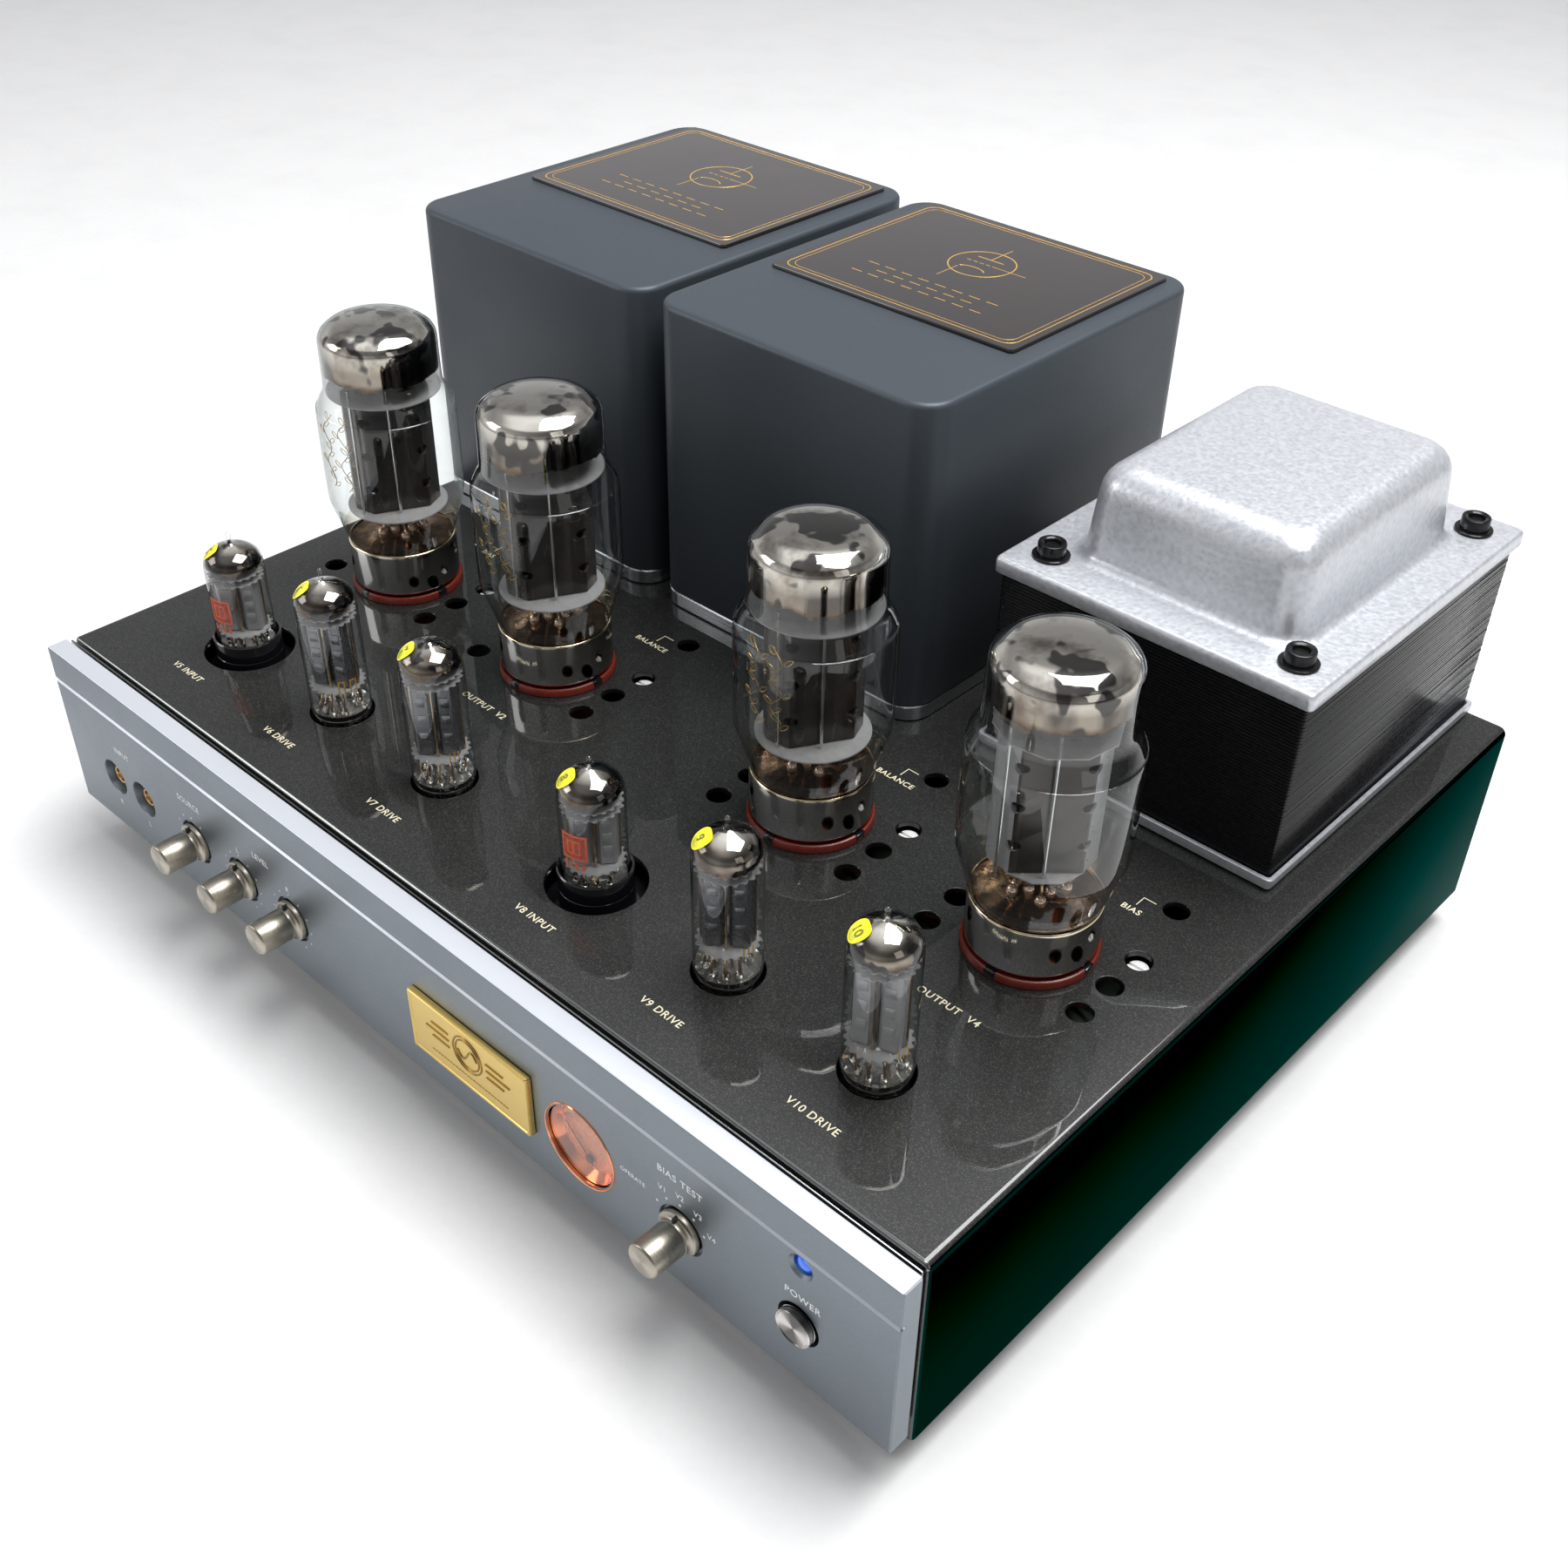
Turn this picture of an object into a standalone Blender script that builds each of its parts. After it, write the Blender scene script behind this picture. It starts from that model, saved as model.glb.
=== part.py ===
"""Stereo tube amplifier on a sheet-metal chassis.

Metres, +Z up. The origin is under the middle of the amplifier, on the surface it stands on.
+X is to the right of somebody facing the front panel, and +Y points to the back.
Depths are given from the front panel's face and heights from its lower edge or from the deck,
the top of the chassis.
"""

import math

import bmesh
import bpy

MM = 0.001
GAP = 0.3 * MM

# Front panel
PANEL_WIDTH = 430 * MM
PANEL_HEIGHT = 71 * MM
PANEL_THICKNESS = 8 * MM
GROOVE_DROP = 14.2 * MM
GROOVE_HALF_WIDTH = 0.9 * MM
GROOVE_DEPTH = 1.3 * MM

# Chassis: sheet thickness, outside size, and how it stands to the front panel
SHEET = 2 * MM
CHASSIS_WIDTH = 429 * MM
CHASSIS_START = 10.7 * MM
CHASSIS_END = 343.7 * MM
CHASSIS_DROP = 6.5 * MM
DECK_HEIGHT = 71.3 * MM
FOLD_RADIUS = 3 * MM
FOOT_HEIGHT = 13.5 * MM
FOOT_RADIUS = 20 * MM
FOOT_INSET = 46 * MM

# How far the knobs and the rear terminals stand out
KNOB_REACH = 16 * MM
REAR_REACH = 18 * MM

FRONT_Y = KNOB_REACH - (KNOB_REACH + CHASSIS_END + REAR_REACH) / 2
PANEL_Z = FOOT_HEIGHT + CHASSIS_DROP
DECK_Z = PANEL_Z + DECK_HEIGHT
INSIDE_HALF = CHASSIS_WIDTH / 2 - SHEET

# Controls on the front panel: places along the panel, all on one line but the lamp
CONTROL_Z = 25 * MM
JACK_X = (-183.2 * MM, -162.5 * MM)
JACK_RECESS_RADIUS = 7.25 * MM
SMALL_KNOB_X = {
    "knob_selector": -125.7 * MM,
    "knob_level_left": -94.8 * MM,
    "knob_level_right": -63.8 * MM,
}
BIAS_KNOB_X = 132.8 * MM
KNOB_RADIUS = 6 * MM
SKIRT_RADIUS = 7.9 * MM
KNOB_RECESS_RADIUS = 8.95 * MM
KNOB_RECESS_DEPTH = 1.6 * MM
SHAFT_RADIUS = 3 * MM
SHAFT_HOLE_RADIUS = 3.5 * MM
BADGE_CENTRE = (37.3 * MM, 28.3 * MM)
BADGE_SIZE = (59.6 * MM, 25.8 * MM, 2.5 * MM)
METER_CENTRE = (88.3 * MM, 26.2 * MM)
METER_RADIUS = 16 * MM
METER_FACE = 14.6 * MM
NEEDLE_DROP = 8.5 * MM
NEEDLE_LENGTH = 16 * MM
NEEDLE_REST = math.radians(-45)
POWER_X = 179.8 * MM
POWER_Z = 25.6 * MM
BUTTON_RADIUS = 6.5 * MM
BUTTON_RECESS_RADIUS = 7.75 * MM
BUTTON_STEM_RADIUS = 3.5 * MM
BUTTON_REACH = 2.7 * MM
POWER_SWITCH_SIZE = (18 * MM, 22 * MM)
LAMP_Z = 50.5 * MM
LAMP_RADIUS = 3.3 * MM

# Tubes on the deck
POWER_TUBE_X = (-158 * MM, -65.2 * MM, 65.2 * MM, 158 * MM)
POWER_TUBE_DEPTH = 128.3 * MM
SMALL_TUBE_X = (-159.3 * MM, -99.3 * MM, -39.3 * MM, 39.3 * MM, 99.3 * MM, 159.3 * MM)
SMALL_TUBE_DEPTH = 54 * MM
SMALL_TUBE_TOP = (50 * MM, 59 * MM, 61 * MM, 50 * MM, 60 * MM, 62 * MM)
COLLARED = (True, False, False, True, False, False)
SMALL_TUBE_RADIUS = 11 * MM
SMALL_TUBE_BOTTOM = -8 * MM
GLASS_WALL = 1.1 * MM
COLLAR_RADIUS = 12.65 * MM
COLLAR_TOP = 7 * MM
OCTAL_RING_RADIUS = 22 * MM
OCTAL_RING_TOP = 3.3 * MM
OCTAL_NECK_RADIUS = 18.5 * MM
TUBE_BASE_RADIUS = 21.2 * MM
TUBE_BASE_TOP = 21.5 * MM
BULB_TOP = 111 * MM

# Access holes beside each power tube, and the preset under the rear right one
ACCESS_RADIUS = 4.6 * MM
ACCESS_OFFSET = 29.6 * MM
ACCESS_DEPTHS = (113.8 * MM, 129.4 * MM)
TRIM_DEPTH = 145 * MM
TRIM_TOP = -3 * MM
TRIM_LENGTH = 6 * MM
TRIM_RADIUS = 3.6 * MM
LABELLED_HOLE_X = (-139 * MM, -40 * MM, 84 * MM, 183 * MM)
LABELLED_HOLE_DEPTH = 173 * MM

# Trays under the deck that carry the sockets: inner and outer X, front and back depth
CARRIER_X = (12 * MM, 205 * MM)
CARRIER_DEPTHS = (30 * MM, 183 * MM)
CARRIER_BOTTOM = -17 * MM
CARRIER_SHEET = 1.6 * MM
POST_INSET = 6 * MM

# Output transformers
CAN_SIZE = (132 * MM, 155.8 * MM)
CAN_X = (-147.2 * MM, -8.5 * MM)
CAN_DEPTH = 267.7 * MM
CAN_CORNER = 12 * MM
CAN_TOP = 124.9 * MM
CAN_BASE = 6.3 * MM
CAN_WALL = 1.5 * MM
PLATE_SIZE = (114 * MM, 96 * MM, 1.2 * MM)
PLATE_DEPTH = 291.8 * MM

# Mains transformer
MAINS_X = 139.7 * MM
MAINS_DEPTH = 272.7 * MM
FLANGE_SIZE = (120 * MM, 144 * MM)
FLANGE_TOP = 76.7 * MM
FLANGE_SHEET = 1.6 * MM
FLANGE_LIP = 6 * MM
BELL_BASE = (84 * MM, 106 * MM)
BELL_TOP = 110.5 * MM
BELL_CORNER = 11 * MM
BELL_EDGE = 10 * MM
BELL_DRAFT = 1.5 * MM
TRAY_LIP = 4.6 * MM
LAMINATION_SIZE = (116 * MM, 140 * MM)
COIL_SIZE = (64 * MM, 86 * MM)
BOLT_INSET = 13.3 * MM
BOLT_HOLE_RADIUS = 2.5 * MM

# Rear panel
REAR_Z = 32 * MM
SPEAKER_X = (-150 * MM, -40 * MM)
POST_PITCH = 20 * MM
POST_RADIUS = 6 * MM
LINE_X = 55 * MM
LINE_PITCH = (19 * MM, 18 * MM)
LINE_RADIUS = 4.1 * MM
INLET_X = 160 * MM
INLET_BODY = (28 * MM, 20.5 * MM)
INLET_RECESS = (24.5 * MM, 16.5 * MM, 15 * MM)

# Sides of round shapes: large turned parts, small ones, and holes
ROUND_STEPS = 16
SMALL_STEPS = 12
HOLE_STEPS = 9
CORNER_STEPS = 3
METER_STEPS = 24


# Scene and materials


def clear_scene():
    for item in list(bpy.data.objects):
        bpy.data.objects.remove(item, do_unlink=True)


def material(name, colour, roughness, metallic, alpha=1.0):
    """Makes a plain Principled material."""
    made = bpy.data.materials.new(name)
    made.use_nodes = True
    shader = made.node_tree.nodes["Principled BSDF"]
    shader.inputs["Base Color"].default_value = (*colour, 1.0)
    shader.inputs["Roughness"].default_value = roughness
    shader.inputs["Metallic"].default_value = metallic
    shader.inputs["Alpha"].default_value = alpha
    made.diffuse_color = (*colour, alpha)
    return made


def all_materials():
    return {
        "anodised": material("anodised", (0.25, 0.28, 0.32), 0.35, 0.9),
        "gloss_black": material("gloss_black", (0.02, 0.022, 0.02), 0.08, 0.2),
        "can_paint": material("can_paint", (0.10, 0.12, 0.14), 0.4, 0.5),
        "bright_steel": material("bright_steel", (0.6, 0.6, 0.6), 0.3, 1.0),
        "silver_paint": material("silver_paint", (0.55, 0.56, 0.58), 0.4, 0.6),
        "lamination": material("lamination", (0.02, 0.02, 0.02), 0.5, 0.3),
        "name_plate": material("name_plate", (0.03, 0.02, 0.02), 0.15, 0.0),
        "black_screw": material("black_screw", (0.015, 0.015, 0.015), 0.3, 0.6),
        "chrome": material("chrome", (0.75, 0.73, 0.7), 0.08, 1.0),
        "nickel": material("nickel", (0.45, 0.42, 0.38), 0.3, 1.0),
        "glass": material("glass", (0.8, 0.85, 0.85), 0.02, 0.0, 0.3),
        "phenolic": material("phenolic", (0.45, 0.08, 0.03), 0.4, 0.0),
        "brass": material("brass", (0.65, 0.5, 0.2), 0.3, 1.0),
        "copper": material("copper", (0.75, 0.3, 0.15), 0.25, 1.0),
        "gold": material("gold", (0.8, 0.6, 0.3), 0.2, 1.0),
        "blue_lamp": material("blue_lamp", (0.02, 0.1, 0.7), 0.1, 0.0),
        "dark_plastic": material("dark_plastic", (0.03, 0.03, 0.03), 0.4, 0.0),
        "board": material("board", (0.05, 0.2, 0.08), 0.5, 0.0),
        "rubber": material("rubber", (0.02, 0.02, 0.02), 0.8, 0.0),
    }


# Outlines and meshes


def rounded_rect(width, depth, radius, centre=(0.0, 0.0), steps=CORNER_STEPS):
    """The corners of a rectangle with round corners, anticlockwise."""
    points = []
    corners = ((1, 1, 0), (-1, 1, 90), (-1, -1, 180), (1, -1, 270))
    for side_x, side_y, start in corners:
        corner_x = centre[0] + side_x * (width / 2 - radius)
        corner_y = centre[1] + side_y * (depth / 2 - radius)
        for step in range(steps + 1):
            angle = math.radians(start + 90 * step / steps)
            points.append((corner_x + radius * math.cos(angle), corner_y + radius * math.sin(angle)))
    return points


def loft(rings):
    """One closed body through rings that have the same number of points, capped at both ends."""
    mesh = bmesh.new()
    rows = [[mesh.verts.new(point) for point in ring] for ring in rings]
    for low, high in zip(rows, rows[1:]):
        for index in range(len(low)):
            following = (index + 1) % len(low)
            mesh.faces.new((low[index], low[following], high[following], high[index]))
    mesh.faces.new(rows[0])
    mesh.faces.new(rows[-1])
    bmesh.ops.recalc_face_normals(mesh, faces=mesh.faces)
    return mesh


def stack(levels, centre):
    """A loft of round-cornered rectangles: (width, depth, corner radius, height) from end to end."""
    rings = []
    for width, depth, radius, height in levels:
        outline = rounded_rect(width, depth, radius, centre)
        rings.append([(x, y, height) for x, y in outline])
    return loft(rings)


def extrude(outline, low, high, axis):
    """A prism: the outline lies across the axis, in X, Y, Z order."""

    def place(first, second, along):
        if axis == "X":
            return (along, first, second)
        if axis == "Y":
            return (first, along, second)
        return (first, second, along)

    return loft([[place(u, v, end) for u, v in outline] for end in (low, high)])


def block(low, high):
    outline = ((low[0], low[1]), (high[0], low[1]), (high[0], high[1]), (low[0], high[1]))
    return extrude(outline, low[2], high[2], "Z")


def turned(profile, centre, steps, axis="Z"):
    """Turns a profile of (radius, height) round an axis through the centre.

    A profile that starts and ends at radius 0 is capped there, and any other is closed into a ring.
    """
    mesh = bmesh.new()
    rows = []
    for radius, height in profile:
        count = steps if radius > 0 else 1
        row = []
        for step in range(count):
            angle = 2 * math.pi * step / steps
            across = (radius * math.cos(angle), radius * math.sin(angle))
            if axis == "Z":
                point = (centre[0] + across[0], centre[1] + across[1], centre[2] + height)
            else:
                point = (centre[0] + across[0], centre[1] + height, centre[2] + across[1])
            row.append(mesh.verts.new(point))
        rows.append(row)
    pairs = list(zip(rows, rows[1:]))
    if profile[0][0] > 0:
        pairs.append((rows[-1], rows[0]))
    for first, second in pairs:
        for step in range(steps):
            following = (step + 1) % steps
            if len(first) == 1:
                mesh.faces.new((first[0], second[step], second[following]))
            elif len(second) == 1:
                mesh.faces.new((first[step], second[0], first[following]))
            else:
                mesh.faces.new((first[step], second[step], second[following], first[following]))
    bmesh.ops.recalc_face_normals(mesh, faces=mesh.faces)
    return mesh


def rod(centre, radius, low, high, steps, axis="Z"):
    """A plain cylinder between two heights on its axis."""
    return turned(((0, high), (radius, high), (radius, low), (0, low)), centre, steps, axis)


def blind_tube(centre, outer, inner, mouth, floor, end, steps, axis="Z"):
    """A cylinder with a blind hole from its mouth to its floor."""
    profile = ((0, floor), (inner, floor), (inner, mouth), (outer, mouth), (outer, end), (0, end))
    return turned(profile, centre, steps, axis)


# Objects


def make_mesh(name, bodies):
    """One mesh from separate bodies, which are used up."""
    mesh = bpy.data.meshes.new(name)
    joined = bmesh.new()
    for body in bodies:
        body.to_mesh(mesh)
        joined.from_mesh(mesh)
        body.free()
    joined.to_mesh(mesh)
    joined.free()
    return mesh


def make_part(name, body, finish, origin=(0.0, 0.0, 0.0), smooth=30):
    """An object with its origin on a joint's axis, for a moving piece, or at the world's origin."""
    bmesh.ops.translate(body, verts=body.verts, vec=[-value for value in origin])
    mesh = make_mesh(name, [body])
    mesh.materials.append(finish)
    mesh.shade_smooth()
    mesh.set_sharp_from_angle(angle=math.radians(smooth))
    part = bpy.data.objects.new(name, mesh)
    part.location = origin
    bpy.context.scene.collection.objects.link(part)
    return part


def make_helper(part, bodies, ending):
    """A hidden mesh for a Boolean, in the part's own space."""
    mesh = make_mesh(part.name + ending, bodies)
    helper = bpy.data.objects.new(part.name + ending, mesh)
    helper.hide_render = True
    helper.display_type = "WIRE"
    bpy.context.scene.collection.objects.link(helper)
    return helper


def cut(part, bodies):
    """Cuts the bodies, which don't overlap each other, out of the part."""
    modifier = part.modifiers.new("cut", "BOOLEAN")
    modifier.operation = "DIFFERENCE"
    modifier.object = make_helper(part, bodies, "_cutters")
    return part


def join(part, bodies):
    """Joins the bodies, which overlap the part but not each other, to the part."""
    modifier = part.modifiers.new("join", "BOOLEAN")
    modifier.operation = "UNION"
    modifier.object = make_helper(part, bodies, "_additions")
    return part


def bevel(part, width, segments=1, angle=50):
    modifier = part.modifiers.new("bevel", "BEVEL")
    modifier.width = width
    modifier.segments = segments
    modifier.limit_method = "ANGLE"
    modifier.angle_limit = math.radians(angle)
    return part


# Chassis


def front_panel(finish):
    """The thick front plate with its V groove and a hole or recess for each control."""
    face = FRONT_Y
    back = FRONT_Y + PANEL_THICKNESS
    top = PANEL_Z + PANEL_HEIGHT
    groove = top - GROOVE_DROP
    chamfer = 0.7 * MM
    outline = (
        (face + chamfer, PANEL_Z),
        (back, PANEL_Z),
        (back, top),
        (face + chamfer, top),
        (face, top - chamfer),
        (face, groove + GROOVE_HALF_WIDTH),
        (face + GROOVE_DEPTH, groove),
        (face, groove - GROOVE_HALF_WIDTH),
        (face, PANEL_Z + chamfer),
    )
    half = PANEL_WIDTH / 2
    part = make_part("front_panel", extrude(outline, -half, half, "X"), finish)
    front = FRONT_Y - 1 * MM
    through = back + 1 * MM
    cutters = []
    side_groove_end = FRONT_Y + PANEL_THICKNESS * 2 / 3
    for side in (-1, 1):
        edge = side * half
        inner = edge - side * GROOVE_DEPTH
        wedge = (
            (edge + side * MM, groove + 2 * GROOVE_HALF_WIDTH),
            (inner, groove),
            (edge + side * MM, groove - 2 * GROOVE_HALF_WIDTH),
        )
        cutters.append(extrude(wedge, front, side_groove_end, "Y"))
    for x in JACK_X:
        cutters.append(rod((x, 0, PANEL_Z + CONTROL_Z), JACK_RECESS_RADIUS, front, through, ROUND_STEPS, "Y"))
    recess_floor = FRONT_Y + KNOB_RECESS_DEPTH
    for x in (*SMALL_KNOB_X.values(), BIAS_KNOB_X):
        profile = (
            (0, front),
            (KNOB_RECESS_RADIUS, front),
            (KNOB_RECESS_RADIUS, recess_floor),
            (SHAFT_HOLE_RADIUS, recess_floor),
            (SHAFT_HOLE_RADIUS, through),
            (0, through),
        )
        cutters.append(turned(profile, (x, 0, PANEL_Z + CONTROL_Z), ROUND_STEPS, "Y"))
    meter_x, meter_z = METER_CENTRE
    meter_centre = (meter_x, 0, PANEL_Z + meter_z)
    cutters.append(rod(meter_centre, METER_RADIUS + GAP, front, through, METER_STEPS, "Y"))
    power = (POWER_X, 0, PANEL_Z + POWER_Z)
    cutters.append(rod(power, BUTTON_RECESS_RADIUS, front, through, ROUND_STEPS, "Y"))
    lamp = (POWER_X, 0, PANEL_Z + LAMP_Z)
    cutters.append(rod(lamp, LAMP_RADIUS + 0.2 * MM, front, through, HOLE_STEPS, "Y"))
    return cut(part, cutters)


def deck_holes():
    """Bodies for every hole in the deck: sockets, access holes and labelled presets."""
    low = DECK_Z - 2 * SHEET
    high = DECK_Z + SHEET
    holes = []
    for x in POWER_TUBE_X:
        y = FRONT_Y + POWER_TUBE_DEPTH
        holes.append(rod((x, y, 0), OCTAL_NECK_RADIUS + 0.5 * MM, low, high, ROUND_STEPS))
        for side in (-1, 1):
            for depth in ACCESS_DEPTHS:
                place = (x + side * ACCESS_OFFSET, FRONT_Y + depth, 0)
                holes.append(rod(place, ACCESS_RADIUS, low, high, HOLE_STEPS))
        place = (x + ACCESS_OFFSET, FRONT_Y + TRIM_DEPTH, 0)
        holes.append(rod(place, ACCESS_RADIUS, low, high, HOLE_STEPS))
    for x in LABELLED_HOLE_X:
        place = (x, FRONT_Y + LABELLED_HOLE_DEPTH, 0)
        holes.append(rod(place, ACCESS_RADIUS, low, high, HOLE_STEPS))
    for x, collared in zip(SMALL_TUBE_X, COLLARED):
        radius = 17.2 * MM if collared else 11.9 * MM
        holes.append(rod((x, FRONT_Y + SMALL_TUBE_DEPTH, 0), radius, low, high, ROUND_STEPS))
    return holes


def front_wall_holes():
    """Bodies for the holes in the chassis's front wall, behind the controls."""
    low = FRONT_Y + CHASSIS_START - SHEET
    high = FRONT_Y + CHASSIS_START + 2 * SHEET
    line = PANEL_Z + CONTROL_Z
    holes = [rod((x, 0, line), 6 * MM, low, high, HOLE_STEPS, "Y") for x in JACK_X]
    for x in (*SMALL_KNOB_X.values(), BIAS_KNOB_X):
        holes.append(rod((x, 0, line), SHAFT_HOLE_RADIUS, low, high, HOLE_STEPS, "Y"))
    meter_x, meter_z = METER_CENTRE
    centre = (meter_x, 0, PANEL_Z + meter_z)
    holes.append(rod(centre, METER_FACE + GAP, low, high, METER_STEPS, "Y"))
    stem = (POWER_X, 0, PANEL_Z + POWER_Z)
    holes.append(rod(stem, BUTTON_STEM_RADIUS + 0.5 * MM, low, high, HOLE_STEPS, "Y"))
    lamp = (POWER_X, 0, PANEL_Z + LAMP_Z)
    holes.append(rod(lamp, LAMP_RADIUS + GAP, low, high, HOLE_STEPS, "Y"))
    return holes


def folded_outline(half, top, bottom, radius, steps=3):
    """Up the left side, over the deck and down the right side, with round folds."""
    points = [(-half, bottom)]
    for side, start in ((-1, 180), (1, 90)):
        for step in range(steps + 1):
            angle = math.radians(start - 90 * step / steps)
            x = side * (half - radius) + radius * math.cos(angle)
            points.append((x, top - radius + radius * math.sin(angle)))
    points.append((half, bottom))
    return points


def chassis_shell(finish):
    """Deck and two sides, folded from one sheet and open below, in front and behind."""
    bottom = PANEL_Z - CHASSIS_DROP
    start = FRONT_Y + CHASSIS_START
    end = FRONT_Y + CHASSIS_END
    outside = folded_outline(CHASSIS_WIDTH / 2, DECK_Z, bottom, FOLD_RADIUS)
    part = make_part("chassis_shell", extrude(outside, start, end, "Y"), finish)
    inside = folded_outline(INSIDE_HALF, DECK_Z - SHEET, bottom - SHEET, FOLD_RADIUS - SHEET)
    cut(part, [extrude(inside, start - SHEET, end + SHEET, "Y")])
    return cut(part, deck_holes())


def front_wall(finish):
    """The plate that closes the chassis in front and carries the controls."""
    start = FRONT_Y + CHASSIS_START
    low = (-INSIDE_HALF + GAP, start, PANEL_Z - CHASSIS_DROP)
    high = (INSIDE_HALF - GAP, start + SHEET, DECK_Z - SHEET - GAP)
    return cut(make_part("front_wall", block(low, high), finish), front_wall_holes())


def rear_places():
    """Where the rear panel is pierced: (x, height, radius) of each round hole."""
    places = []
    for centre in SPEAKER_X:
        for step in (-1, 0, 1):
            places.append((centre + step * POST_PITCH, REAR_Z, POST_RADIUS + 0.5 * MM))
    for column in (-1, 0, 1):
        for row in (-0.5, 0.5):
            x = LINE_X + column * LINE_PITCH[0]
            places.append((x, REAR_Z + row * LINE_PITCH[1], LINE_RADIUS + 0.5 * MM))
    return places


def rear_panel(finish):
    low = (-INSIDE_HALF + GAP, FRONT_Y + CHASSIS_END - SHEET - GAP, PANEL_Z - CHASSIS_DROP)
    high = (INSIDE_HALF - GAP, FRONT_Y + CHASSIS_END - GAP, DECK_Z - SHEET - GAP)
    part = make_part("rear_panel", block(low, high), finish)
    cutters = []
    for x, height, radius in rear_places():
        centre = (x, 0, PANEL_Z + height)
        cutters.append(rod(centre, radius, low[1] - SHEET, high[1] + SHEET, HOLE_STEPS, "Y"))
    width, height = INLET_BODY
    inlet = rounded_rect(width + 2 * GAP, height + 2 * GAP, 2 * MM, (INLET_X, PANEL_Z + REAR_Z))
    cutters.append(extrude(inlet, low[1] - SHEET, high[1] + SHEET, "Y"))
    return cut(part, cutters)


def bottom_plate(finish):
    bottom = PANEL_Z - CHASSIS_DROP
    low = (-INSIDE_HALF + GAP, FRONT_Y + CHASSIS_START + SHEET + GAP, bottom)
    high = (INSIDE_HALF - GAP, FRONT_Y + CHASSIS_END - SHEET - 2 * GAP, bottom + 1.5 * MM)
    return make_part("bottom_plate", block(low, high), finish)


def feet(finish):
    """Four turned feet, a little wider at the top, on the bottom plate."""
    top = FOOT_HEIGHT - GAP
    profile = (
        (0, top),
        (FOOT_RADIUS, top),
        (FOOT_RADIUS, 4 * MM),
        (FOOT_RADIUS - 2 * MM, 2 * MM),
        (FOOT_RADIUS - 2.5 * MM, 0),
        (0, 0),
    )
    rows = (("front", CHASSIS_START + FOOT_INSET), ("rear", CHASSIS_END - FOOT_INSET))
    for row, depth in rows:
        for side, sign in (("left", -1), ("right", 1)):
            place = (sign * (CHASSIS_WIDTH / 2 - FOOT_INSET), FRONT_Y + depth, 0)
            make_part(f"foot_{row}_{side}", turned(profile, place, ROUND_STEPS), finish)


# Controls


def knob(name, x, finish):
    """A turned grip that flares into a skirt, with its shaft. Its origin is on its axis."""
    reach = KNOB_REACH
    profile = (
        (0, -reach),
        (KNOB_RADIUS - 0.7 * MM, -reach),
        (KNOB_RADIUS, -reach + 0.7 * MM),
        (KNOB_RADIUS, -3.4 * MM),
        (KNOB_RADIUS + 0.9 * MM, -2 * MM),
        (SKIRT_RADIUS, -1.2 * MM),
        (SKIRT_RADIUS, 1 * MM),
        (SHAFT_RADIUS, 1 * MM),
        (SHAFT_RADIUS, 18.4 * MM),
        (0, 18.4 * MM),
    )
    centre = (x, FRONT_Y, PANEL_Z + CONTROL_Z)
    return make_part(name, turned(profile, centre, ROUND_STEPS, "Y"), finish, origin=centre)


def control_body(x, radius, length):
    """A pot or switch body behind the chassis's front wall, with a blind hole for the shaft."""
    mouth = CHASSIS_START + SHEET + GAP
    centre = (x, FRONT_Y, PANEL_Z + CONTROL_Z)
    floor = mouth + 7 * MM
    end = mouth + length
    return blind_tube(centre, radius, SHAFT_HOLE_RADIUS, mouth, floor, end, SMALL_STEPS, "Y")


def control_board(finish):
    """The selector switch and the two level pots on their shared board."""
    start = FRONT_Y + CHASSIS_START + SHEET + 18 * MM
    places = list(SMALL_KNOB_X.values())
    margin = 15 * MM
    low = (places[0] - margin, start, PANEL_Z + 6 * MM)
    high = (places[-1] + margin, start + 1.6 * MM, PANEL_Z + 46 * MM)
    part = make_part("control_board", block(low, high), finish)
    return join(part, [control_body(x, 8.5 * MM, 18.5 * MM) for x in places])


def switch_board(finish):
    """The meter's rotary switch and the power switch on their shared board."""
    mouth = FRONT_Y + CHASSIS_START + SHEET + GAP
    start = mouth + 14 * MM
    low = (BIAS_KNOB_X - 18 * MM, start, PANEL_Z + 8 * MM)
    high = (POWER_X + 14 * MM, start + 1.6 * MM, PANEL_Z + 43 * MM)
    part = make_part("switch_board", block(low, high), finish)
    centre = PANEL_Z + POWER_Z
    half = POWER_SWITCH_SIZE[0] / 2
    body_low = (POWER_X - half, mouth, centre - half)
    body_high = (POWER_X + half, mouth + POWER_SWITCH_SIZE[1], centre + half)
    join(part, [control_body(BIAS_KNOB_X, 10 * MM, 18.5 * MM), block(body_low, body_high)])
    radius = BUTTON_STEM_RADIUS + 0.5 * MM
    floor = mouth + 11 * MM
    return cut(part, [rod((POWER_X, 0, centre), radius, mouth - MM, floor, HOLE_STEPS, "Y")])


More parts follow.
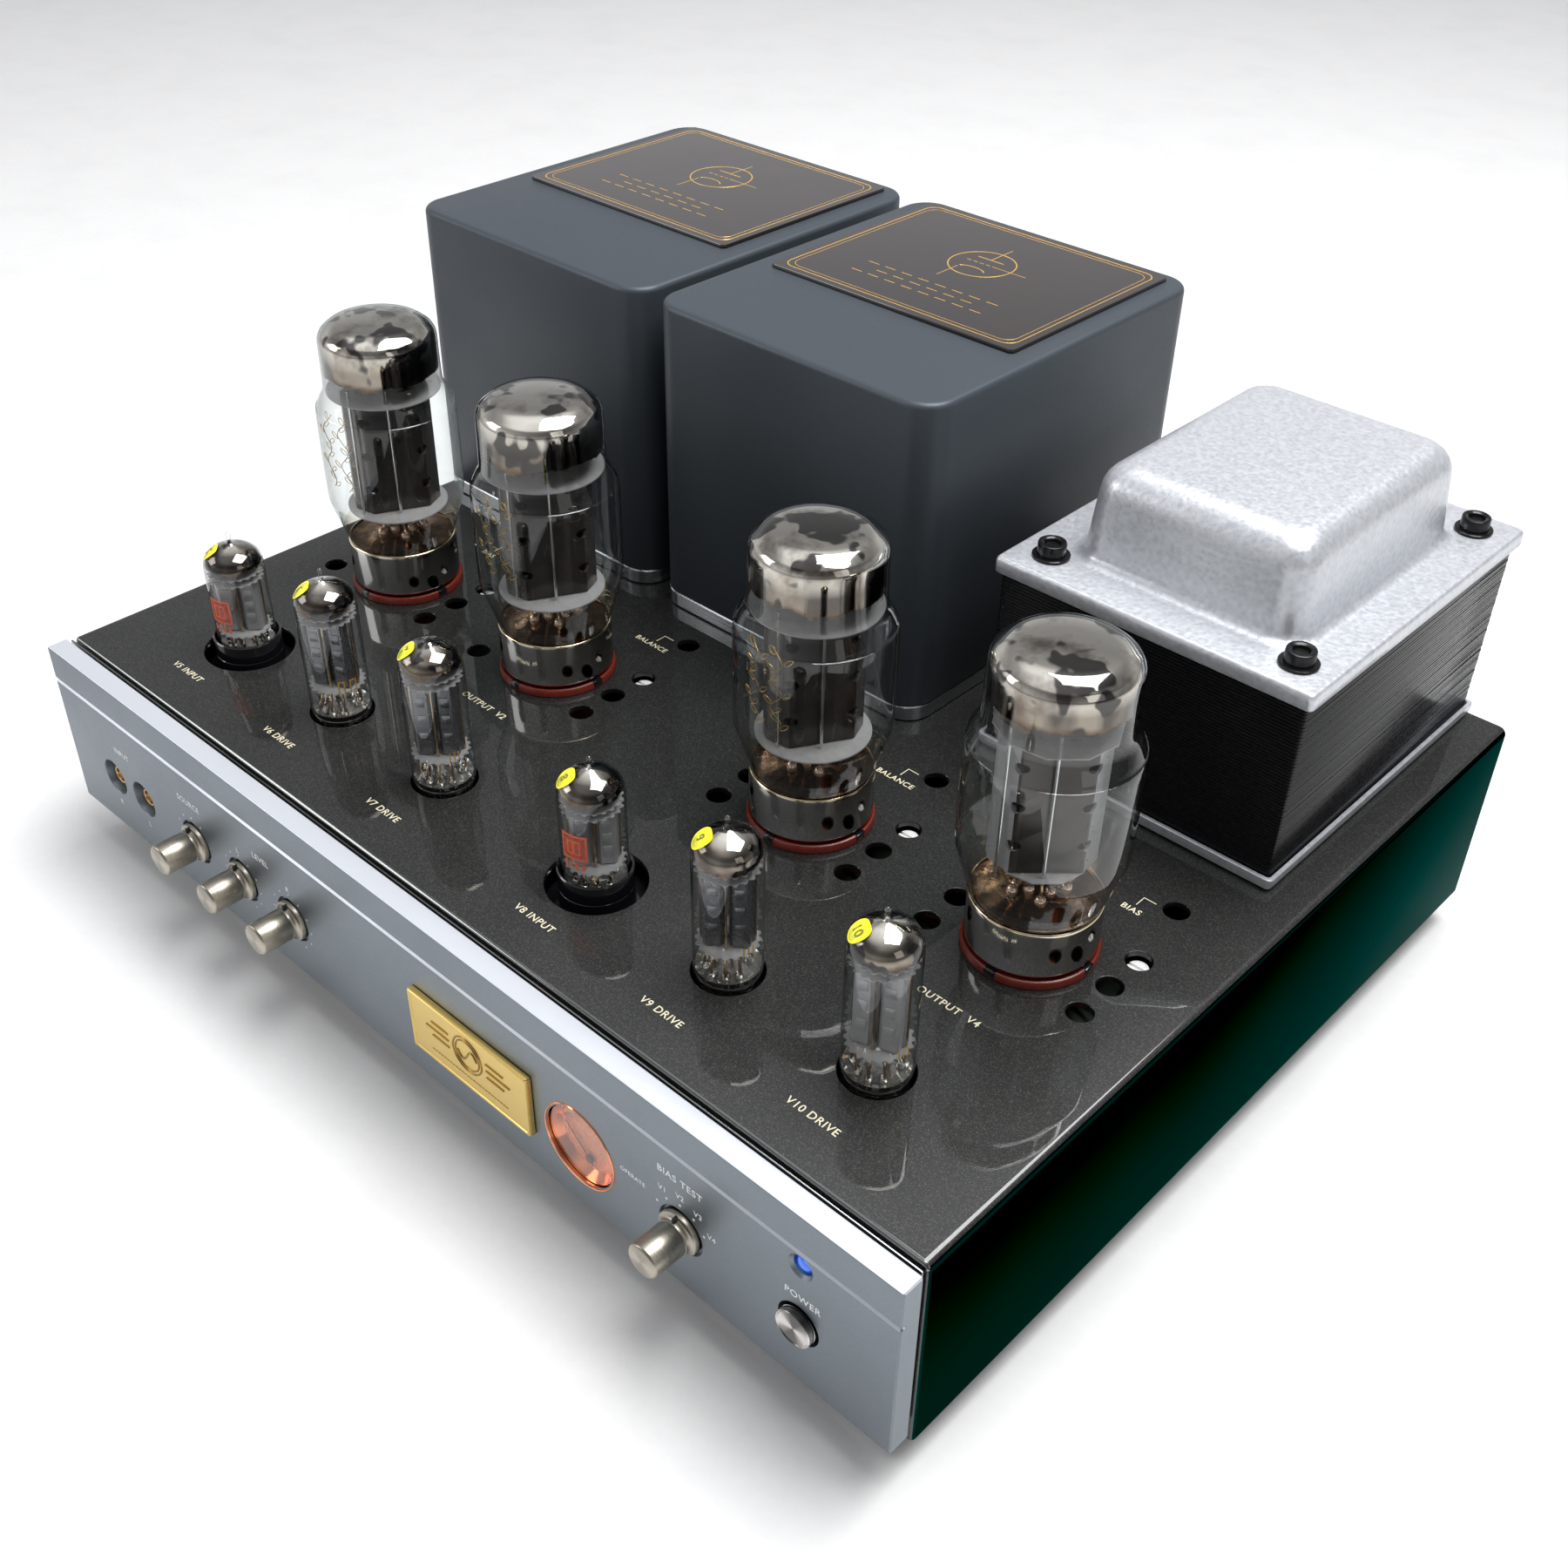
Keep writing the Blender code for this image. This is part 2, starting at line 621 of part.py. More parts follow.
def input_jacks(finish):
    """Two phono jacks on one bracket behind the chassis's front wall."""
    line = PANEL_Z + CONTROL_Z
    start = FRONT_Y + CHASSIS_START + SHEET + GAP
    low = (JACK_X[0] - 10 * MM, start, line - 10 * MM)
    high = (JACK_X[1] + 10 * MM, start + 1.5 * MM, line + 10 * MM)
    part = make_part("input_jacks", block(low, high), finish)
    jacks = []
    for x in JACK_X:
        profile = (
            (0, 11 * MM),
            (1.7 * MM, 11 * MM),
            (1.7 * MM, 3.2 * MM),
            (4.1 * MM, 3.2 * MM),
            (4.1 * MM, 8.6 * MM),
            (5.6 * MM, 8.6 * MM),
            (5.6 * MM, 26 * MM),
            (0, 26 * MM),
        )
        jacks.append(turned(profile, (x, FRONT_Y, line), SMALL_STEPS, "Y"))
    return join(part, jacks)


def badge(finish):
    """The plate on the front panel, left plain here."""
    x, z = BADGE_CENTRE
    width, height, thickness = BADGE_SIZE
    low = (x - width / 2, FRONT_Y - thickness, PANEL_Z + z - height / 2)
    high = (x + width / 2, FRONT_Y - GAP, PANEL_Z + z + height / 2)
    return bevel(make_part("badge", block(low, high), finish), 0.35 * MM)


def meter(finishes):
    """Bezel ring, housing with its face, and the needle that swings in front of the face."""
    x, z = METER_CENTRE
    centre = (x, FRONT_Y, PANEL_Z + z)
    inner = METER_FACE + GAP
    ring = (
        (METER_RADIUS, 0),
        (METER_RADIUS, 7.7 * MM),
        (inner, 7.7 * MM),
        (inner, 2.2 * MM),
        (METER_RADIUS - 0.6 * MM, -0.4 * MM),
        (METER_RADIUS - 0.3 * MM, -0.4 * MM),
    )
    make_part("meter_bezel", turned(ring, centre, METER_STEPS, "Y"), finishes["copper"])
    housing = rod(centre, METER_FACE, 4.2 * MM, 26 * MM, METER_STEPS, "Y")
    make_part("meter_body", housing, finishes["dark_plastic"])
    pivot = (x, FRONT_Y + 3.5 * MM, PANEL_Z + z - NEEDLE_DROP)
    needle = make_part("meter_needle", needle_body(pivot), finishes["dark_plastic"], origin=pivot)
    needle.rotation_euler = (0, NEEDLE_REST, 0)


def needle_body(pivot):
    """A tapered pointer that widens to a round boss, in one outline."""
    boss = 2.2 * MM
    points = [(0.25 * MM, NEEDLE_LENGTH), (-0.25 * MM, NEEDLE_LENGTH)]
    for step in range(9):
        angle = math.radians(110 + 320 * step / 8)
        points.append((boss * math.cos(angle), boss * math.sin(angle)))
    outline = [(pivot[0] + x, pivot[2] + z) for x, z in points]
    return extrude(outline, pivot[1] - GAP, pivot[1] + GAP, "Y")


def power_controls(finishes):
    """The push button and the lamp above it."""
    centre = (POWER_X, FRONT_Y, PANEL_Z + POWER_Z)
    profile = (
        (0, -BUTTON_REACH),
        (BUTTON_RADIUS - 0.3 * MM, -BUTTON_REACH),
        (BUTTON_RADIUS, -BUTTON_REACH + 0.3 * MM),
        (BUTTON_RADIUS, 5 * MM),
        (BUTTON_STEM_RADIUS, 5 * MM),
        (BUTTON_STEM_RADIUS, 18 * MM),
        (0, 18 * MM),
    )
    button = turned(profile, centre, ROUND_STEPS, "Y")
    make_part("power_button", button, finishes["nickel"], origin=centre)
    lamp = (
        (0, 0.6 * MM),
        (1.8 * MM, 0.9 * MM),
        (2.9 * MM, 1.9 * MM),
        (LAMP_RADIUS, 3 * MM),
        (LAMP_RADIUS, 16 * MM),
        (0, 16 * MM),
    )
    lamp_centre = (POWER_X, FRONT_Y, PANEL_Z + LAMP_Z)
    make_part("power_lamp", turned(lamp, lamp_centre, HOLE_STEPS, "Y"), finishes["blue_lamp"])


# Tubes and their sockets


def socket_carrier(name, side, finish):
    """A plate on posts under the deck, with two octal sockets, three nine-pin sockets and presets."""
    inner, outer = CARRIER_X
    bottom = DECK_Z + CARRIER_BOTTOM
    low = (min(side * inner, side * outer), FRONT_Y + CARRIER_DEPTHS[0], bottom)
    high = (max(side * inner, side * outer), FRONT_Y + CARRIER_DEPTHS[1], bottom + CARRIER_SHEET)
    part = make_part(name, block(low, high), finish)
    additions = []
    for x in (low[0] + POST_INSET, (low[0] + high[0]) / 2, high[0] - POST_INSET):
        for y in (low[1] + POST_INSET, high[1] - POST_INSET):
            post_low = bottom + CARRIER_SHEET / 2
            post_high = DECK_Z - SHEET - GAP
            additions.append(rod((x, y, 0), SHAFT_RADIUS, post_low, post_high, HOLE_STEPS))
    under = CARRIER_BOTTOM - 3 * MM
    for x in POWER_TUBE_X:
        if x * side > 0:
            y = FRONT_Y + POWER_TUBE_DEPTH
            profile = (
                (0, -11 * MM),
                (15 * MM, -11 * MM),
                (15 * MM, OCTAL_RING_TOP),
                (OCTAL_RING_RADIUS, OCTAL_RING_TOP),
                (OCTAL_RING_RADIUS, GAP),
                (OCTAL_NECK_RADIUS, GAP),
                (OCTAL_NECK_RADIUS, under),
                (0, under),
            )
            additions.append(turned(profile, (x, y, DECK_Z), ROUND_STEPS))
            preset = (x + ACCESS_OFFSET, FRONT_Y + TRIM_DEPTH, DECK_Z)
            top = TRIM_TOP - TRIM_LENGTH - GAP
            additions.append(rod(preset, 4.2 * MM, CARRIER_BOTTOM + 0.5 * MM, top, HOLE_STEPS))
    for x, collared in zip(SMALL_TUBE_X, COLLARED):
        if x * side > 0:
            centre = (x, FRONT_Y + SMALL_TUBE_DEPTH, DECK_Z)
            additions.append(small_socket(centre, collared, under))
    return join(part, additions)


def small_socket(centre, collared, under):
    """A nine-pin socket, which on two places has a tall collar round the tube."""
    bore = 7 * MM
    seat = SMALL_TUBE_BOTTOM - GAP
    floor = seat - 7 * MM
    if not collared:
        return blind_tube(centre, 10.5 * MM, bore, seat, floor, under, SMALL_STEPS)
    wall = SMALL_TUBE_RADIUS + 0.6 * MM
    profile = (
        (0, floor),
        (bore, floor),
        (bore, seat),
        (wall, seat),
        (wall, COLLAR_TOP),
        (COLLAR_RADIUS, COLLAR_TOP),
        (COLLAR_RADIUS, under),
        (0, under),
    )
    return turned(profile, centre, ROUND_STEPS)


def power_tube_base(name, x, finish):
    """Metal base cup and locating key, with the electrode stack standing on it."""
    centre = (x, FRONT_Y + POWER_TUBE_DEPTH, DECK_Z)
    bottom = OCTAL_RING_TOP + GAP
    profile = (
        (0, TUBE_BASE_TOP + 8 * MM),
        (6 * MM, TUBE_BASE_TOP + 8 * MM),
        (7 * MM, TUBE_BASE_TOP),
        (TUBE_BASE_RADIUS - 0.6 * MM, TUBE_BASE_TOP),
        (TUBE_BASE_RADIUS, TUBE_BASE_TOP - 0.6 * MM),
        (TUBE_BASE_RADIUS, bottom),
        (4 * MM, bottom),
        (4 * MM, -9 * MM),
        (0, -9 * MM),
    )
    part = make_part(name, turned(profile, centre, ROUND_STEPS), finish)
    anode = stack(
        (
            (34 * MM, 16 * MM, 3 * MM, DECK_Z + 29 * MM),
            (34 * MM, 16 * MM, 3 * MM, DECK_Z + 80 * MM),
        ),
        centre[:2],
    )
    return join(part, [anode])


def bulb_outline():
    """The outside of a power tube's bulb: (radius, height above the deck) from the top down."""
    points = [(0, BULB_TOP)]
    for degrees in (75, 45, 15):
        angle = math.radians(degrees)
        height = BULB_TOP - 10 * MM + 9.6 * MM * math.sin(angle)
        points.append((14 * MM + 8.4 * MM * math.cos(angle), height))
    points.extend(
        (
            (22.4 * MM, 87 * MM),
            (24.2 * MM, 81.5 * MM),
            (26.5 * MM, 74 * MM),
            (26.5 * MM, 44 * MM),
            (24 * MM, 32 * MM),
            (20.6 * MM, TUBE_BASE_TOP + GAP),
        )
    )
    return points


def power_tube_bulb(name, x, finish):
    """The glass bulb as a thin shell, open where it meets the base."""
    centre = (x, FRONT_Y + POWER_TUBE_DEPTH, DECK_Z)
    outside = bulb_outline()
    shoulder, *wall = [point for point in outside if point[0] > 22 * MM]
    inside = [
        (outside[-1][0] - GLASS_WALL, outside[-1][1]),
        *[(radius - GLASS_WALL, height) for radius, height in reversed(wall)],
        (shoulder[0] - GLASS_WALL, BULB_TOP - 10 * MM),
        (14 * MM, BULB_TOP - 2.5 * GLASS_WALL),
        (0, BULB_TOP - 2 * GLASS_WALL),
    ]
    return make_part(name, turned(outside + inside, centre, ROUND_STEPS), finish)


def small_tube(name, x, top, finish):
    """A nine-pin tube's bulb with its exhaust tip, a thin shell open at the bottom."""
    centre = (x, FRONT_Y + SMALL_TUBE_DEPTH, DECK_Z)
    radius = SMALL_TUBE_RADIUS
    shoulder = top - 6 * MM
    outside = [(0, top), (0.8 * MM, top - 1.5 * MM), (1.6 * MM, shoulder + 0.4 * MM)]
    for degrees in (65, 30, 0):
        angle = math.radians(degrees)
        outside.append((radius * math.cos(angle), shoulder - 7 * MM + 7 * MM * math.sin(angle)))
    outside.append((radius, SMALL_TUBE_BOTTOM))
    wall = GLASS_WALL
    inner_top = shoulder - wall
    inside = [(radius - wall, SMALL_TUBE_BOTTOM), (radius - wall, inner_top - 6 * MM)]
    for degrees in (30, 65):
        angle = math.radians(degrees)
        height = inner_top - 6 * MM + 6 * MM * math.sin(angle)
        inside.append(((radius - wall) * math.cos(angle), height))
    inside.append((0, inner_top))
    return make_part(name, turned(outside + inside, centre, SMALL_STEPS), finish)


def trim_screw(name, x, finish):
    """A preset's slotted screw, in its hole a little below the deck."""
    centre = (x, FRONT_Y + TRIM_DEPTH, DECK_Z)
    bottom = TRIM_TOP - TRIM_LENGTH
    body = rod(centre, TRIM_RADIUS, bottom, TRIM_TOP, HOLE_STEPS)
    part = make_part(name, body, finish, origin=centre)
    half = 0.55 * MM
    low = (-half, -2 * TRIM_RADIUS, TRIM_TOP - 1.4 * MM)
    high = (half, 2 * TRIM_RADIUS, TRIM_TOP + MM)
    cut(part, [block(low, high)])
    part.modifiers["cut"].object.location = centre
    return part


# Transformers


def output_transformer(side, x, finishes):
    """Base plate with its potted core, the can over it, and the plate on top."""
    centre = (x, FRONT_Y + CAN_DEPTH)
    width, depth = CAN_SIZE
    base_low = DECK_Z + GAP
    base_top = DECK_Z + CAN_BASE
    clearance = CAN_WALL + 2 * MM
    core_width = width - 2 * clearance
    core_depth = depth - 2 * clearance
    core_radius = CAN_CORNER - clearance
    core_top = DECK_Z + CAN_TOP - 5 * MM
    core = stack(
        (
            (width, depth, CAN_CORNER, base_low),
            (width, depth, CAN_CORNER, base_top),
            (core_width, core_depth, core_radius, base_top),
            (core_width, core_depth, core_radius, core_top),
        ),
        centre,
    )
    make_part(f"output_core_{side}", core, finishes["bright_steel"])
    can_bottom = base_top + GAP
    can_top = DECK_Z + CAN_TOP
    edge = 1.6 * MM
    inner_width = width - 2 * CAN_WALL
    inner_depth = depth - 2 * CAN_WALL
    inner_radius = CAN_CORNER - CAN_WALL
    levels = [
        (inner_width, inner_depth, inner_radius, can_top - CAN_WALL),
        (inner_width, inner_depth, inner_radius, can_bottom),
        (width, depth, CAN_CORNER, can_bottom),
    ]
    for degrees in (0, 30, 60, 90):
        angle = math.radians(degrees)
        inset = 2 * edge * (1 - math.cos(angle))
        height = can_top - edge * (1 - math.sin(angle))
        levels.append((width - inset, depth - inset, CAN_CORNER - inset / 2, height))
    make_part(f"output_can_{side}", stack(levels, centre), finishes["can_paint"], smooth=40)
    plate_width, plate_depth, plate_thickness = PLATE_SIZE
    low = can_top + GAP
    plate = stack(
        (
            (plate_width, plate_depth, 1 * MM, low),
            (plate_width, plate_depth, 1 * MM, low + plate_thickness),
        ),
        (x, FRONT_Y + PLATE_DEPTH),
    )
    make_part(f"output_plate_{side}", plate, finishes["name_plate"])


def bolt_places():
    half_x = FLANGE_SIZE[0] / 2 - BOLT_INSET
    half_y = FLANGE_SIZE[1] / 2 - BOLT_INSET
    centre_y = FRONT_Y + MAINS_DEPTH
    return [(MAINS_X + sx * half_x, centre_y + sy * half_y) for sy in (-1, 1) for sx in (-1, 1)]


def bolt_holes():
    low = DECK_Z + FLANGE_TOP - 16 * MM
    high = DECK_Z + FLANGE_TOP + 2 * MM
    return [rod((x, y, 0), BOLT_HOLE_RADIUS, low, high, 8) for x, y in bolt_places()]


def mains_transformer(finishes):
    """Bottom tray, laminated core with its coil, pressed bell cover, and four bolts."""
    centre = (MAINS_X, FRONT_Y + MAINS_DEPTH)
    width, depth = FLANGE_SIZE
    floor = DECK_Z + GAP
    sheet = FLANGE_SHEET
    corner = 1.8 * MM
    inner_corner = 0.6 * MM
    tray = stack(
        (
            (width, depth, corner, floor),
            (width, depth, corner, floor + TRAY_LIP),
            (width - 2 * sheet, depth - 2 * sheet, inner_corner, floor + TRAY_LIP),
            (width - 2 * sheet, depth - 2 * sheet, inner_corner, floor + sheet),
        ),
        centre,
    )
    make_part("mains_tray", tray, finishes["silver_paint"])

    core_width, core_depth = LAMINATION_SIZE
    coil_width, coil_depth = COIL_SIZE
    core_low = floor + sheet + GAP
    core_top = DECK_Z + FLANGE_TOP - sheet - GAP
    coil_top = DECK_Z + BELL_TOP - 6 * MM
    core = stack(
        (
            (core_width, core_depth, 1 * MM, core_low),
            (core_width, core_depth, 1 * MM, core_top),
            (coil_width, coil_depth, 8 * MM, core_top),
            (coil_width, coil_depth, 8 * MM, coil_top),
        ),
        centre,
    )
    cut(make_part("mains_core", core, finishes["lamination"]), bolt_holes())
    cut(make_part("mains_bell", bell_body(centre), finishes["silver_paint"], smooth=40), bolt_holes())

    for number, (x, y) in enumerate(bolt_places(), start=1):
        make_part(f"mains_bolt_{number}", bolt_body(x, y), finishes["black_screw"])


def bell_body(centre):
    """The cover: a lip turned down round the core, a flat flange, and a round-edged box on it."""
    width, depth = FLANGE_SIZE
    sheet = FLANGE_SHEET
    top = DECK_Z + FLANGE_TOP
    lip = top - FLANGE_LIP
    bell_width, bell_depth = BELL_BASE
    bell_top = DECK_Z + BELL_TOP
    inner_width = width - 2 * sheet
    inner_depth = depth - 2 * sheet
    hollow_width = bell_width - 8 * MM
    hollow_depth = bell_depth - 8 * MM
    levels = [
        (hollow_width - 16 * MM, hollow_depth - 16 * MM, 4 * MM, bell_top - 2 * MM),
        (hollow_width - 4 * MM, hollow_depth - 4 * MM, 9 * MM, bell_top - 8 * MM),
        (hollow_width, hollow_depth, 10 * MM, top - sheet),
        (inner_width, inner_depth, 0.6 * MM, top - sheet),
        (inner_width, inner_depth, 0.6 * MM, lip),
        (width, depth, 1.8 * MM, lip),
        (width, depth, 1.8 * MM, top - 0.8 * MM),
        (width - 1.6 * MM, depth - 1.6 * MM, 1.4 * MM, top),
        (bell_width + 5 * MM, bell_depth + 5 * MM, BELL_CORNER + 2 * MM, top),
        (bell_width + 1.4 * MM, bell_depth + 1.4 * MM, BELL_CORNER + 0.6 * MM, top + 1 * MM),
        (bell_width, bell_depth, BELL_CORNER, top + 3.5 * MM),
    ]
    radius = BELL_EDGE
    for degrees in (0, 22.5, 45, 67.5, 90):
        angle = math.radians(degrees)
        inset = BELL_DRAFT + 2 * radius * (1 - math.cos(angle))
        height = bell_top - radius * (1 - math.sin(angle))
        corner = BELL_CORNER - (inset - BELL_DRAFT) / 2.6
        levels.append((bell_width - inset, bell_depth - inset, corner, height))
    return stack(levels, centre)


def bolt_body(x, y):
    """A washer, a pan head with a driver recess, and a shank."""
    seat = FLANGE_TOP + GAP
    profile = (
        (0, seat + 3.4 * MM),
        (1.6 * MM, seat + 3.4 * MM),
        (1.9 * MM, seat + 5.2 * MM),
        (3.6 * MM, seat + 5 * MM),
        (4.9 * MM, seat + 3.6 * MM),
        (4.9 * MM, seat + 1.4 * MM),
        (6.5 * MM, seat + 1.2 * MM),
        (6.5 * MM, seat),
        (2.1 * MM, seat),
        (2.1 * MM, FLANGE_TOP - 14 * MM),
        (0, FLANGE_TOP - 14 * MM),
    )
    return turned(profile, (x, y, DECK_Z), HOLE_STEPS)


# Inside and back


def circuit_board(finish):
    """The power supply board on its pillars, with its capacitors."""
    low = (-150 * MM, FRONT_Y + 62 * MM, PANEL_Z + 2 * MM)
    high = (150 * MM, FRONT_Y + 166 * MM, PANEL_Z + 3.6 * MM)
    part = make_part("circuit_board", block(low, high), finish)
    additions = []
    board_top = PANEL_Z + 3 * MM
    for x in (-120, -84, -48, 48, 84, 120):
        centre = (x * MM, FRONT_Y + 90 * MM, board_top)
        additions.append(rod(centre, 12.5 * MM, 0, 34 * MM, HOLE_STEPS))
    for x in (-100, -40, 40, 100):
        corner = (x * MM - 14 * MM, FRONT_Y + 122 * MM, board_top)
        additions.append(block(corner, (corner[0] + 28 * MM, corner[1] + 14 * MM, board_top + 16 * MM)))
    pillar_low = PANEL_Z - CHASSIS_DROP + 1.5 * MM + GAP
    for x in (-143, 143):
        for depth in (69, 159):
            centre = (x * MM, FRONT_Y + depth * MM, 0)
            additions.append(rod(centre, 3 * MM, pillar_low, board_top, 8))
    return join(part, additions)


def rear_plate(name, x, width, height, finish):
    """A plate against the inside of the rear panel."""
    back = FRONT_Y + CHASSIS_END - SHEET - 2 * GAP
    low = (x - width / 2, back - 2 * MM, PANEL_Z + REAR_Z - height / 2)
    high = (x + width / 2, back, PANEL_Z + REAR_Z + height / 2)
    return make_part(name, block(low, high), finish)


def speaker_terminals(side, x, finish):
    """Three binding posts on one insulating plate."""
    part = rear_plate(f"speaker_terminals_{side}", x, 60 * MM, 20 * MM, finish)
    start = CHASSIS_END - 12 * MM
    end = CHASSIS_END + REAR_REACH
    posts = []
    for step in (-1, 0, 1):
        centre = (x + step * POST_PITCH, FRONT_Y, PANEL_Z + REAR_Z)
        profile = (
            (0, start),
            (3 * MM, start),
            (3 * MM, CHASSIS_END - 3.5 * MM),
            (POST_RADIUS, CHASSIS_END - 3.5 * MM),
            (POST_RADIUS, CHASSIS_END + 3 * MM),
            (3.2 * MM, CHASSIS_END + 3 * MM),
            (3.2 * MM, CHASSIS_END + 7 * MM),
            (POST_RADIUS, CHASSIS_END + 7 * MM),
            (POST_RADIUS, end - 0.8 * MM),
            (POST_RADIUS - 0.8 * MM, end),
            (0, end),
        )
        posts.append(turned(profile, centre, HOLE_STEPS, "Y"))
    return join(part, posts)


def line_inputs(finish):
    """Six phono sockets in two rows on one plate."""
    part = rear_plate("line_inputs", LINE_X, 56 * MM, 36 * MM, finish)
    sockets = []
    for x, height, _ in rear_places()[6:]:
        centre = (x, FRONT_Y, PANEL_Z + height)
        mouth = CHASSIS_END + 8 * MM
        end = CHASSIS_END - 9 * MM
        hole = 1.7 * MM
        sockets.append(blind_tube(centre, LINE_RADIUS, hole, mouth, CHASSIS_END, end, HOLE_STEPS, "Y"))
    return join(part, sockets)


def mains_inlet(finish):
    """An appliance inlet: flange outside the rear panel, body inside, and three blades."""
    centre = (INLET_X, PANEL_Z + REAR_Z)
    width, height = INLET_BODY
    panel_back = FRONT_Y + CHASSIS_END - GAP
    flange_start = panel_back + GAP
    flange_end = flange_start + 2.4 * MM
    rings = []
    for level_width, level_height, radius, along in (
        (width, height, 2 * MM, panel_back - 18 * MM),
        (width, height, 2 * MM, flange_start),
        (48 * MM, 25 * MM, 5 * MM, flange_start),
        (48 * MM, 25 * MM, 5 * MM, flange_end),
    ):
        outline = rounded_rect(level_width, level_height, radius, centre, 3)
        rings.append([(x, along, z) for x, z in outline])
    part = make_part("mains_inlet", loft(rings), finish)
    recess_width, recess_height, recess_depth = INLET_RECESS
    recess = rounded_rect(recess_width, recess_height, 2 * MM, centre, 3)
    floor = flange_end - recess_depth
    cut(part, [extrude(recess, floor, flange_end + MM, "Y")])
    blades = []
    for dx, dz in ((-7, -2), (0, 2), (7, -2)):
        low = (centre[0] + dx * MM - 1 * MM, floor - MM, centre[1] + dz * MM - 2 * MM)
        high = (centre[0] + dx * MM + 1 * MM, floor + 9 * MM, centre[1] + dz * MM + 2 * MM)
        blades.append(block(low, high))
    return join(part, blades)


def build():
    clear_scene()
    finishes = all_materials()
    front_panel(finishes["anodised"])
    chassis_shell(finishes["gloss_black"])
    front_wall(finishes["gloss_black"])
    rear_panel(finishes["gloss_black"])
    bottom_plate(finishes["gloss_black"])
    feet(finishes["rubber"])
    for name, x in SMALL_KNOB_X.items():
        knob(name, x, finishes["nickel"])
    knob("knob_bias_test", BIAS_KNOB_X, finishes["nickel"])
    control_board(finishes["dark_plastic"])
    switch_board(finishes["dark_plastic"])
    input_jacks(finishes["gold"])
    badge(finishes["brass"])
    meter(finishes)
    power_controls(finishes)
    for side, sign in (("left", -1), ("right", 1)):
        socket_carrier(f"socket_carrier_{side}", sign, finishes["phenolic"])
    for number, x in enumerate(POWER_TUBE_X, start=1):
        power_tube_base(f"power_tube_base_{number}", x, finishes["chrome"])
        power_tube_bulb(f"power_tube_bulb_{number}", x, finishes["glass"])
        trim_screw(f"trim_screw_{number}", x + ACCESS_OFFSET, finishes["bright_steel"])
    for number, (x, top) in enumerate(zip(SMALL_TUBE_X, SMALL_TUBE_TOP), start=1):
        small_tube(f"small_tube_{number}", x, top, finishes["glass"])
    for side, x in zip(("left", "right"), CAN_X):
        output_transformer(side, x, finishes)
    mains_transformer(finishes)
    circuit_board(finishes["board"])
    for side, x in zip(("left", "right"), SPEAKER_X):
        speaker_terminals(side, x, finishes["gold"])
    line_inputs(finishes["gold"])
    mains_inlet(finishes["dark_plastic"])


build()
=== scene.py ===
"""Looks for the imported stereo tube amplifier: glass tubes, painted chassis, panel and transformers.

Pieces are shaped in millimetres in the row frame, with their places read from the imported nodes,
and add() turns them into metres.
"""

import random
from math import cos, dist, pi, radians, sin

import bmesh
import bpy
from mathutils import Matrix, Vector


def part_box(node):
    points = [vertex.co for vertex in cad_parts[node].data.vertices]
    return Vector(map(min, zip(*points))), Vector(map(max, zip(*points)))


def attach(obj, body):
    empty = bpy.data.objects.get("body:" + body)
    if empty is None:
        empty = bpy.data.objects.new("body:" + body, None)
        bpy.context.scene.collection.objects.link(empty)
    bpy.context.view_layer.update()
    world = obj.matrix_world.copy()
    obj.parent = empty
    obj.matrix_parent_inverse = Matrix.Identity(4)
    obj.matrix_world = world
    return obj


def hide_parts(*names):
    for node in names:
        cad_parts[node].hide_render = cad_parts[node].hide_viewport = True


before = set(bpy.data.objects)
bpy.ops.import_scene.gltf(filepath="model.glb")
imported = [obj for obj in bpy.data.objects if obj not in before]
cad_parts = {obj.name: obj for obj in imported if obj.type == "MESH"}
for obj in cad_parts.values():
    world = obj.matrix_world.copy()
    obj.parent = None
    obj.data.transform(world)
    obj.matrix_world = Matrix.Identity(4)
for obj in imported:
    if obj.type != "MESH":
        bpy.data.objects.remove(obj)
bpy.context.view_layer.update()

MM = 0.001
ROOT = "chassis"


def box(node):
    """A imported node's corners, in mm."""
    return [corner * 1000 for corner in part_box(node)]


PANEL_LOW, PANEL_HIGH = box("front_panel")
SHELL_LOW, SHELL_HIGH = box("chassis_shell")
FACE_Y = PANEL_LOW.y
PANEL_Z = PANEL_LOW.z
DECK_Z = SHELL_HIGH.z
BACK_Y = SHELL_HIGH.y


def middle(node):
    low, high = box(node)
    return (low + high) / 2


# Meshes


def lathe(profile, centre, steps=48, axis="Z", tags=None):
    """Turns (radius, height) pairs round an axis; tags gives each band its material."""
    mesh = bmesh.new()
    rows = []
    for radius, height in profile:
        row = []
        for step in range(steps if radius > 0 else 1):
            angle = 2 * pi * step / steps
            u = radius * cos(angle)
            v = radius * sin(angle)
            offset = Vector((u, v, height)) if axis == "Z" else Vector((u, height, v))
            row.append(mesh.verts.new(Vector(centre) + offset))
        rows.append(row)
    pairs = list(zip(rows, rows[1:]))
    if profile[0] == profile[-1]:
        pairs[-1] = (rows[-2], rows[0])
        bmesh.ops.delete(mesh, geom=rows[-1], context="VERTS")
    for band, (first, second) in enumerate(pairs):
        for step in range(steps):
            after = (step + 1) % steps
            if len(first) == 1:
                corners = (first[0], second[step], second[after])
            elif len(second) == 1:
                corners = (first[step], second[0], first[after])
            else:
                corners = (first[step], second[step], second[after], first[after])
            face = mesh.faces.new(corners)
            face.material_index = tags[band] if tags else 0
    bmesh.ops.recalc_face_normals(mesh, faces=mesh.faces)
    return mesh


